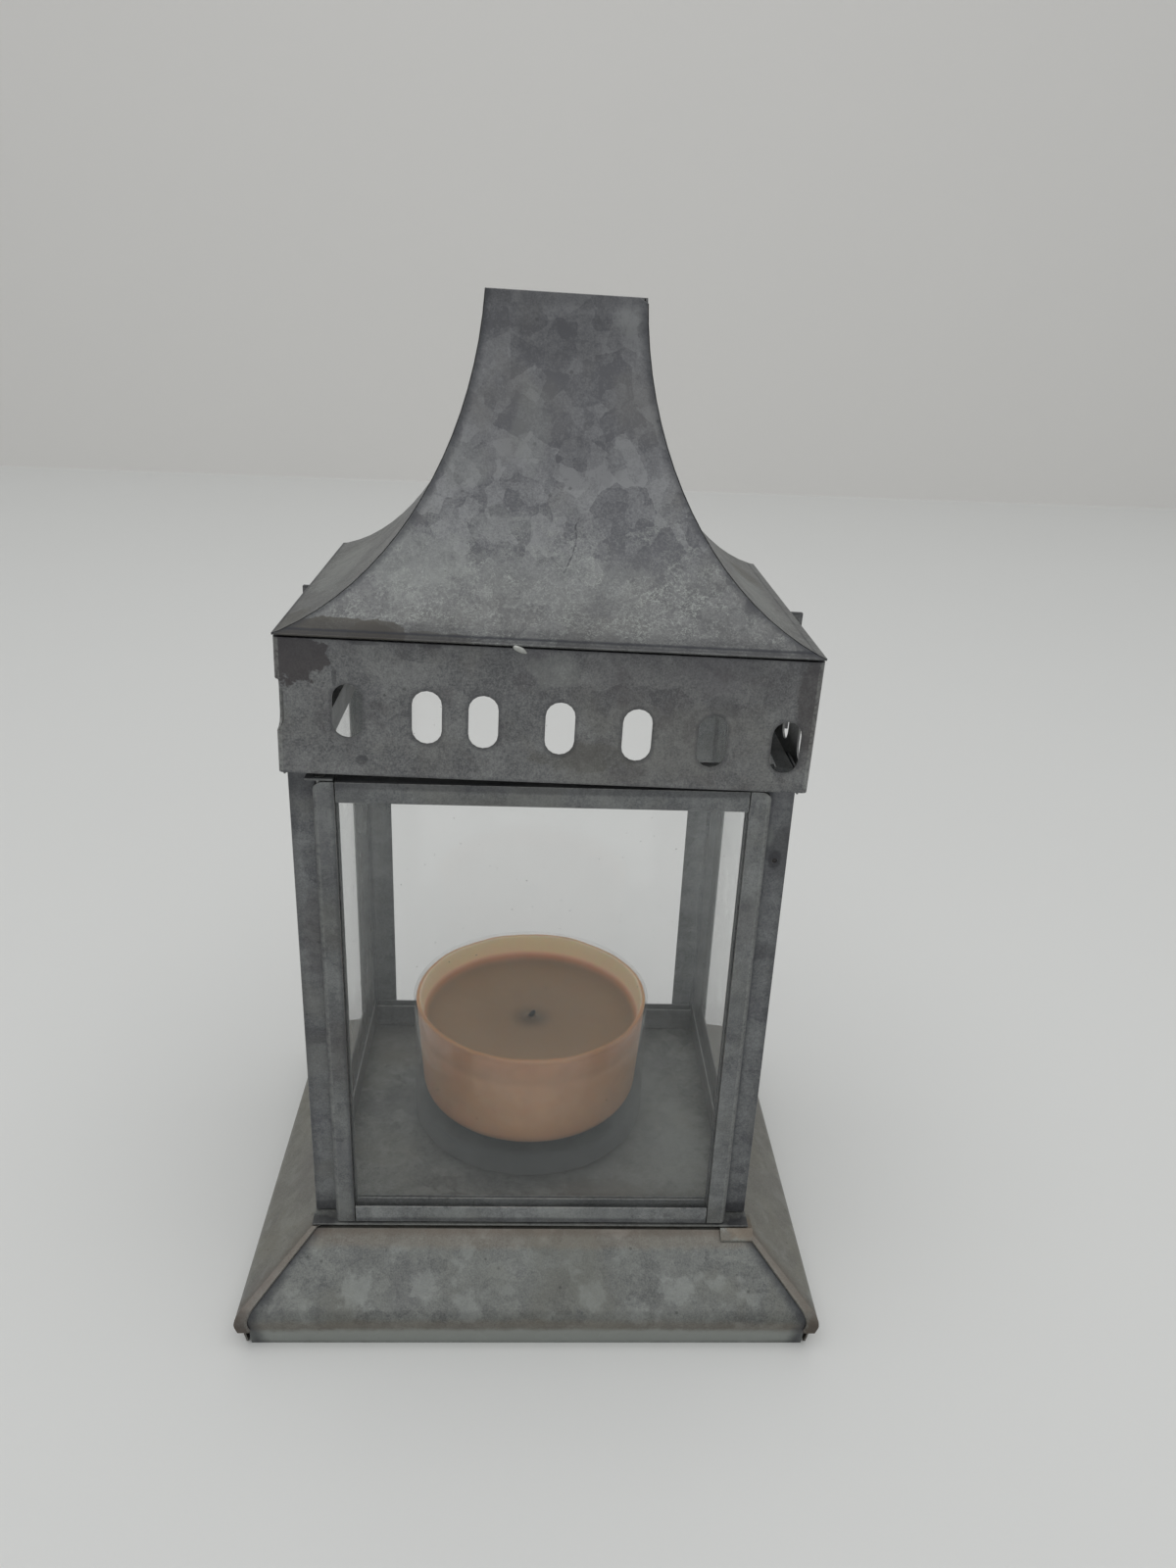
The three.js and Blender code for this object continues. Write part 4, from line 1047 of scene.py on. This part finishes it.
class LanternCandleSettings(bpy.types.PropertyGroup):
    """Colours and forms of the wax and the wick."""

    wax: tint("Wax", "Colour of the wax", 226, 176, 138)
    pool: tint("Pool", "Colour of the set pool", 164, 134, 100)
    glow: factor("Translucency", "How much light the wax lets through", 0.8)
    shell_height: measure(
        "Shell height", "From the pool up to the top of the standing shell", 0.001, 0.02, 0.0071,
    )
    shell: measure("Shell", "Thickness of the standing shell", 0.0004, 0.004, 0.0011)
    wick: measure("Wick", "Radius of the wick", 0.0003, 0.002, 0.0008)


class LanternStageSettings(bpy.types.PropertyGroup):
    """The floor, the backdrop, the light and the camera."""

    floor: tint("Floor", "Colour of the floor", 224, 225, 223)
    wall: tint("Backdrop", "Colour of the backdrop", 221, 220, 217)
    surround: FloatProperty(
        name="Surround", description="Strength of the even light all round",
        min=0, max=5, default=0.52,
    )
    overhead: FloatProperty(
        name="Overhead", description="Power of the wide light above, in watts",
        min=0, max=200, default=9.5,
    )
    camera_place: FloatVectorProperty(
        name="Camera", description="Where the camera stands", subtype="TRANSLATION", unit="LENGTH",
        size=3, default=(-0.00221, -0.22625, 0.20365),
    )
    camera_turn: FloatVectorProperty(
        name="Camera turn", description="The camera's turn to the right, tilt down and roll",
        subtype="EULER", unit="ROTATION", size=3, default=(0.052946, 0.401484, 0.044595),
    )
    lens: FloatProperty(
        name="Lens", description="Focal length on a 36 mm tall picture",
        min=5, max=200, default=26.31,
    )
    floor_end: measure("Floor end", "How far behind the lantern the floor runs", 0.2, 5, 1.13)


# The steps

# The stage in metres: half its width, where the floor begins, the radius of its turn up to the
# backdrop, the backdrop's top, and the place and width of the round light above.
STAGE_HALF_WIDTH = 2.2
FLOOR_START = -1.6
TURN_UP = 0.001
BACKDROP_TOP = 1.6
LAMP_PLACE = Vector((0.0, -0.4, 1.45))
LAMP_SIZE = 1.8


class LANTERN_OT_stage(bpy.types.Operator):
    """Sets up the camera at the photograph's angle, the pale floor and backdrop and soft light"""

    bl_idname = "lantern.stage"
    bl_label = "Stage, light and camera"

    def execute(self, context):
        stage = context.scene.lantern_stage
        turn, tilt, roll = stage.camera_turn
        ahead = Vector((
            math.sin(turn) * math.cos(tilt),
            math.cos(turn) * math.cos(tilt),
            -math.sin(tilt),
        ))
        level = Vector((math.cos(turn), -math.sin(turn), 0))
        upright = level.cross(ahead)
        right = math.cos(roll) * level + math.sin(roll) * upright
        up = math.cos(roll) * upright - math.sin(roll) * level
        data = bpy.data.cameras.new("lantern_camera")
        data.sensor_width = 36
        data.lens = stage.lens
        data.clip_start = 0.005
        data.clip_end = 20
        camera = bpy.data.objects.new("lantern_camera", data)
        context.scene.collection.objects.link(camera)
        axes = Matrix((right, up, -ahead)).transposed().to_4x4()
        camera.matrix_world = Matrix.Translation(stage.camera_place) @ axes
        context.scene.camera = camera

        floor = [(FLOOR_START, 0.0), (stage.floor_end, 0.0)]
        self.surface("stage_floor", stage.floor, floor, 0.7)
        angles = [math.radians(-90 + 90 * i / 8) for i in range(9)]
        turn = [(stage.floor_end + TURN_UP * math.cos(a), TURN_UP + TURN_UP * math.sin(a))
                for a in angles]
        backdrop = turn + [(stage.floor_end + TURN_UP, BACKDROP_TOP)]
        self.surface("stage_backdrop", stage.wall, backdrop, 1.4)
        self.light(context, stage.overhead)

        world = bpy.data.worlds.new("even_light")
        world.use_nodes = True
        ground = world.node_tree.nodes["Background"]
        ground.inputs["Color"].default_value = (0.985, 0.99, 1.0, 1.0)
        ground.inputs["Strength"].default_value = stage.surround
        context.scene.world = world
        context.scene.view_settings.view_transform = "Standard"
        return {"FINISHED"}

    @staticmethod
    def surface(name, base, outline, grain):
        """Draws an outline of (back, up) points out sideways into one wide sheet."""
        mesh = bmesh.new()
        points = [mesh.verts.new((-STAGE_HALF_WIDTH, y, z)) for y, z in outline]
        edges = [mesh.edges.new(pair) for pair in zip(points, points[1:])]
        drawn = bmesh.ops.extrude_edge_only(mesh, edges=edges)
        moved = [v for v in drawn["geom"] if isinstance(v, bmesh.types.BMVert)]
        bmesh.ops.translate(mesh, verts=moved, vec=(2 * STAGE_HALF_WIDTH, 0, 0))
        bmesh.ops.recalc_face_normals(mesh, faces=mesh.faces)
        if sum(face.normal.z - face.normal.y for face in mesh.faces) < 0:
            bmesh.ops.reverse_faces(mesh, faces=mesh.faces)
        smooth_over(mesh, 30)
        data = bpy.data.meshes.new(name)
        mesh.to_mesh(data)
        mesh.free()
        data.materials.append(plain_stage(name, base, grain))
        sheet = bpy.data.objects.new(name, data)
        bpy.context.scene.collection.objects.link(sheet)

    @staticmethod
    def light(context, power):
        """A wide round light above, turned towards the lantern's foot."""
        data = bpy.data.lights.new("overhead", "AREA")
        data.shape = "DISK"
        data.size = LAMP_SIZE
        data.energy = power
        lamp = bpy.data.objects.new("overhead", data)
        lamp.location = LAMP_PLACE
        lamp.rotation_euler = LAMP_PLACE.to_track_quat("Z", "Y").to_euler()
        context.scene.collection.objects.link(lamp)


def dress(parts):
    """Makes every sheet metal piece that belongs to one of the parts."""
    for piece, (part, _, _) in SHEETS.items():
        if part in parts:
            sheet_piece(piece)
    return {"FINISHED"}


class LANTERN_OT_foot(bpy.types.Operator):
    """Makes the four sloped skirts of the foot and the deck"""

    bl_idname = "lantern.foot"
    bl_label = "Foot and deck"

    def execute(self, context):
        return dress(("foot", "deck"))


class LANTERN_OT_frame(bpy.types.Operator):
    """Makes the posts, the glazing channels, the header, the sill, the rim and the ear"""

    bl_idname = "lantern.frame"
    bl_label = "Posts and channels"

    def execute(self, context):
        return dress(("frame",))


class LANTERN_OT_door(bpy.types.Operator):
    """Makes the door's stiles and rails and finishes its hinge wire"""

    bl_idname = "lantern.door"
    bl_label = "Door"

    def execute(self, context):
        dress(("door",))
        refinish("hinge_wire", drawn_steel("steel_hinge_wire"))
        return {"FINISHED"}


class LANTERN_OT_band(bpy.types.Operator):
    """Makes the two slotted strips of the band"""

    bl_idname = "lantern.band"
    bl_label = "Slotted band"

    def execute(self, context):
        return dress(("band",))


class LANTERN_OT_roof(bpy.types.Operator):
    """Makes the curved roof panels and the plate that closes them"""

    bl_idname = "lantern.roof"
    bl_label = "Roof"

    def execute(self, context):
        return dress(("roof",))


class LANTERN_OT_solder(bpy.types.Operator):
    """Makes the drop of solder under the eave and the dark plug that paints shade into the pinhole
    """

    bl_idname = "lantern.solder"
    bl_label = "Solder and dirt"

    def execute(self, context):
        drop = self.lump(*DROP, 26)
        new_piece(drop, "eave_solder", solder(), "cap")
        # The dark plug is painted shade in the pinhole.
        plug = self.lump(*PLUG, 0)
        new_piece(plug, "pinhole_dirt", packed_dirt(), body_of("post_front_right"))
        return {"FINISHED"}

    @staticmethod
    def lump(centre, half, slant):
        """A small uneven lump: middle and half sizes in millimetres, slant in degrees."""
        mesh = bmesh.new()
        bmesh.ops.create_icosphere(mesh, subdivisions=4, radius=1.0)
        bmesh.ops.scale(mesh, verts=mesh.verts, vec=metres(half))
        share = half[0] / DROP[1][0]
        for vert in mesh.verts:
            push = noise.noise(vert.co * 900) * 0.22 + noise.noise(vert.co * 2600) * 0.10
            vert.co.x += push * share * MM
            vert.co.z += push * share * 0.5 * MM
        turn = Matrix.Rotation(math.radians(slant), 3, "Y")
        bmesh.ops.rotate(mesh, verts=mesh.verts, cent=(0, 0, 0), matrix=turn)
        bmesh.ops.translate(mesh, verts=mesh.verts, vec=metres(centre))
        bmesh.ops.smooth_vert(
            mesh, verts=mesh.verts, factor=0.3, use_axis_x=True, use_axis_y=True, use_axis_z=True,
        )
        smooth_over(mesh, 60)
        return mesh


class LANTERN_OT_panes(bpy.types.Operator):
    """Finishes the four panes"""

    bl_idname = "lantern.panes"
    bl_label = "Panes"

    def execute(self, context):
        for node in ("pane_left", "pane_right", "pane_back", "door_pane"):
            refinish(node, window_glass(node))
        return {"FINISHED"}


class LANTERN_OT_candle_cup(bpy.types.Operator):
    """Turns the pressed glass of the candle with its thick clear base and fire-polished rim"""

    bl_idname = "lantern.candle_cup"
    bl_label = "Candle cup"

    def execute(self, context):
        glass = context.scene.lantern_glass
        centre = candle_centre()
        rim = glass.cup_radius / MM
        top = glass.cup_height / MM
        floor = glass.cup_floor / MM
        corner, half = CUP_FLOOR_BEND, CUP_WALL / 2
        heel, hollow = 1.6, 0.8
        # The inside, from the middle of the floor up to the rim.
        profile = [(0.0, floor), (12.0, floor)]
        profile += bend(CUP_FLOOR_RADIUS - corner, floor + corner, corner, -90, 0, 10)
        profile += [(rim - CUP_WALL, top - half - 0.4)]
        profile += bend(rim - half, top - half, half, 180, 0, 8)
        # The outside, down to the heel and the hollow underneath.
        profile += bend(rim - heel, heel, heel, 0, -90, 8)
        profile += [(rim - 2 * heel, 0.0), (rim - 2.5 * heel, 0.25)]
        profile += [(rim - 3 * heel, hollow), (0.0, hollow)]
        mesh = turned(profile, centre, glass.steps)
        piece = new_piece(mesh, "votive_cup", pressed_glass(), "candle")
        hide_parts("votive_glass")
        return {"FINISHED"}


class LANTERN_OT_candle(bpy.types.Operator):
    """Turns the burnt-down wax with its thin shell, makes the wick and finishes its metal foot"""

    bl_idname = "lantern.candle"
    bl_label = "Wax and wick"

    def execute(self, context):
        self.wax(context)
        self.wick(context)
        refinish("wick_sustainer", drawn_steel("steel_wick_foot", (0.02, 0.01, 0)))
        return {"FINISHED"}

    @staticmethod
    def wax(context):
        """The wax fills the cup up to its pool, and stands up thin against the glass above it."""
        glass = context.scene.lantern_glass
        candle = context.scene.lantern_candle
        centre = candle_centre()
        gap = 0.02
        low, corner = CUP_FLOOR_RADIUS, CUP_FLOOR_BEND
        bore = glass.cup_radius / MM - CUP_WALL
        floor = glass.cup_floor / MM
        # The bore widens evenly from the bend up to half a millimetre under the rim.
        full = glass.cup_height / MM - 0.5 - (floor + corner)
        top = candle_level("top") - centre.z / MM
        pool = candle_level("pool") - centre.z / MM
        shell = candle.shell / MM

        def side(height):
            """The wax's outer radius at a height, a gap inside the glass."""
            return low + (bore - low) * (height - (floor + corner)) / full - gap

        profile = [(0.0, floor + gap), (12.0, floor + gap)]
        profile += bend(low - corner - gap, floor + corner, corner - gap, -90, 0, 10)
        profile += [(side(h), h) for h in (13.0, 16.0, 19.0, 22.0, 25.0, 28.0, 29.5)]
        profile += bend(side(top) - shell / 2, top - shell / 2, shell / 2, 0, 180, 6)
        # Down inside the shell to the pool, then in to the wick.
        shell_foot = (
            (4.2, 0.05), (3.0, 0.15), (2.0, 0.35), (1.2, 0.8),
            (0.6, 1.5), (0.25, 2.4), (0.06, 3.8), (0.0, 5.5),
        )
        profile += [(side(pool + rise) - shell - thicker, pool + rise)
                    for rise, thicker in shell_foot]
        round_wick = (
            (15.0, 0.0), (10.0, 0.0), (6.0, 0.0), (4.0, -0.05), (2.6, -0.12),
            (1.6, 0.05), (1.1, 0.35), (0.9, 0.55), (0.0, 0.55),
        )
        profile += [(radius, pool + rise) for radius, rise in round_wick]
        mesh = turned(profile, centre, glass.steps)
        melt_from = centre.z + (pool - 0.6) * MM
        for vert in mesh.verts:
            if vert.co.z < melt_from:
                continue
            spot = (vert.co - centre) * 90
            lift = (vert.co.z - melt_from) / (7 * MM)
            vert.co.z += noise.noise(spot) * (0.25 + 0.25 * lift) * MM
            vert.co.z += noise.noise(spot * 4.5) * 0.10 * MM
        mesh.normal_update()
        piece = new_piece(mesh, "candle_wax_body", candle_wax(), "candle")
        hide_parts("candle_wax")

    @staticmethod
    def wick(context):
        """A short bent wick: a ring drawn up along a curve, ragged at its burnt end."""
        candle = context.scene.lantern_candle
        low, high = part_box("candle_wick")
        centre = candle_centre()
        foot = low.z
        pool = candle_level("pool") * MM
        tip = min(high.z, pool + 2.0 * MM)
        mesh = bmesh.new()
        ring = bmesh.ops.create_circle(mesh, cap_ends=True, radius=candle.wick * 0.86, segments=16)
        bmesh.ops.translate(mesh, verts=ring["verts"], vec=(centre.x, centre.y, foot))
        face = mesh.faces[:]
        levels = [foot + (pool - foot) * 0.5, pool]
        shares = (0.15, 0.3, 0.45, 0.6, 0.72, 0.83, 0.92, 0.985)
        levels += [pool + (tip - pool) * share for share in shares]
        before = Vector((centre.x, centre.y, foot))
        for level in levels:
            rise = max(0.0, (level - pool) / (tip - pool))
            here = Vector((centre.x + 0.72 * MM * rise ** 1.7, centre.y - 0.18 * MM * rise, level))
            drawn = bmesh.ops.extrude_face_region(mesh, geom=face)
            bmesh.ops.delete(mesh, geom=face, context="FACES_ONLY")
            face = [g for g in drawn["geom"] if isinstance(g, bmesh.types.BMFace)]
            ring = [g for g in drawn["geom"] if isinstance(g, bmesh.types.BMVert)]
            bmesh.ops.translate(mesh, verts=ring, vec=here - before)
            if rise > 0.5:
                slim = 0.93 if rise < 0.9 else 0.72
                about = Matrix.Translation(-here)
                bmesh.ops.scale(mesh, verts=ring, vec=(slim, slim, 1), space=about)
            before = here
        open_end = [edge for edge in mesh.edges if edge.is_boundary]
        bmesh.ops.holes_fill(mesh, edges=open_end, sides=0)
        bmesh.ops.recalc_face_normals(mesh, faces=mesh.faces)
        bmesh.ops.subdivide_edges(mesh, edges=mesh.edges[:], cuts=1, use_grid_fill=True)
        for vert in mesh.verts:
            if vert.co.z > pool and vert.co.z < tip - 0.1 * MM:
                push = noise.noise(vert.co * 2100) * 0.10 * MM
                vert.co += vert.normal * min(push, 0.0)
        smooth_over(mesh, 50)
        piece = new_piece(mesh, "candle_wick_braid", charred_cotton(), "candle")
        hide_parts("candle_wick")


STEPS = (
    LANTERN_OT_stage,
    LANTERN_OT_foot,
    LANTERN_OT_frame,
    LANTERN_OT_door,
    LANTERN_OT_band,
    LANTERN_OT_roof,
    LANTERN_OT_solder,
    LANTERN_OT_panes,
    LANTERN_OT_candle_cup,
    LANTERN_OT_candle,
)


class LANTERN_PT_steps(bpy.types.Panel):
    """Lists the lantern's steps and settings"""

    bl_idname = "LANTERN_PT_steps"
    bl_label = "Candle lantern"
    bl_space_type = "VIEW_3D"
    bl_region_type = "UI"
    bl_category = "Lantern"

    def draw(self, context):
        layout = self.layout
        for step in STEPS:
            layout.operator(step.bl_idname, text=step.bl_label)
        for name in SETTINGS:
            box = layout.box()
            group = getattr(context.scene, name)
            for key in group.bl_rna.properties.keys():
                if key not in ("rna_type", "name"):
                    box.prop(group, key)


SETTINGS = {
    "lantern_sheet": LanternSheetSettings,
    "lantern_glass": LanternGlassSettings,
    "lantern_candle": LanternCandleSettings,
    "lantern_stage": LanternStageSettings,
}


def register():
    for name, group in SETTINGS.items():
        bpy.utils.register_class(group)
        setattr(bpy.types.Scene, name, PointerProperty(type=group))
    for step in STEPS:
        bpy.utils.register_class(step)
    bpy.utils.register_class(LANTERN_PT_steps)


def unregister():
    bpy.utils.unregister_class(LANTERN_PT_steps)
    for step in reversed(STEPS):
        bpy.utils.unregister_class(step)
    for name, group in reversed(SETTINGS.items()):
        delattr(bpy.types.Scene, name)
        bpy.utils.unregister_class(group)


def main():
    """Runs every step in order."""
    register()
    bpy.ops.lantern.stage()
    bpy.ops.lantern.foot()
    bpy.ops.lantern.frame()
    bpy.ops.lantern.door()
    bpy.ops.lantern.band()
    bpy.ops.lantern.roof()
    bpy.ops.lantern.solder()
    bpy.ops.lantern.panes()
    bpy.ops.lantern.candle_cup()
    bpy.ops.lantern.candle()


if __name__ == "__main__":
    main()
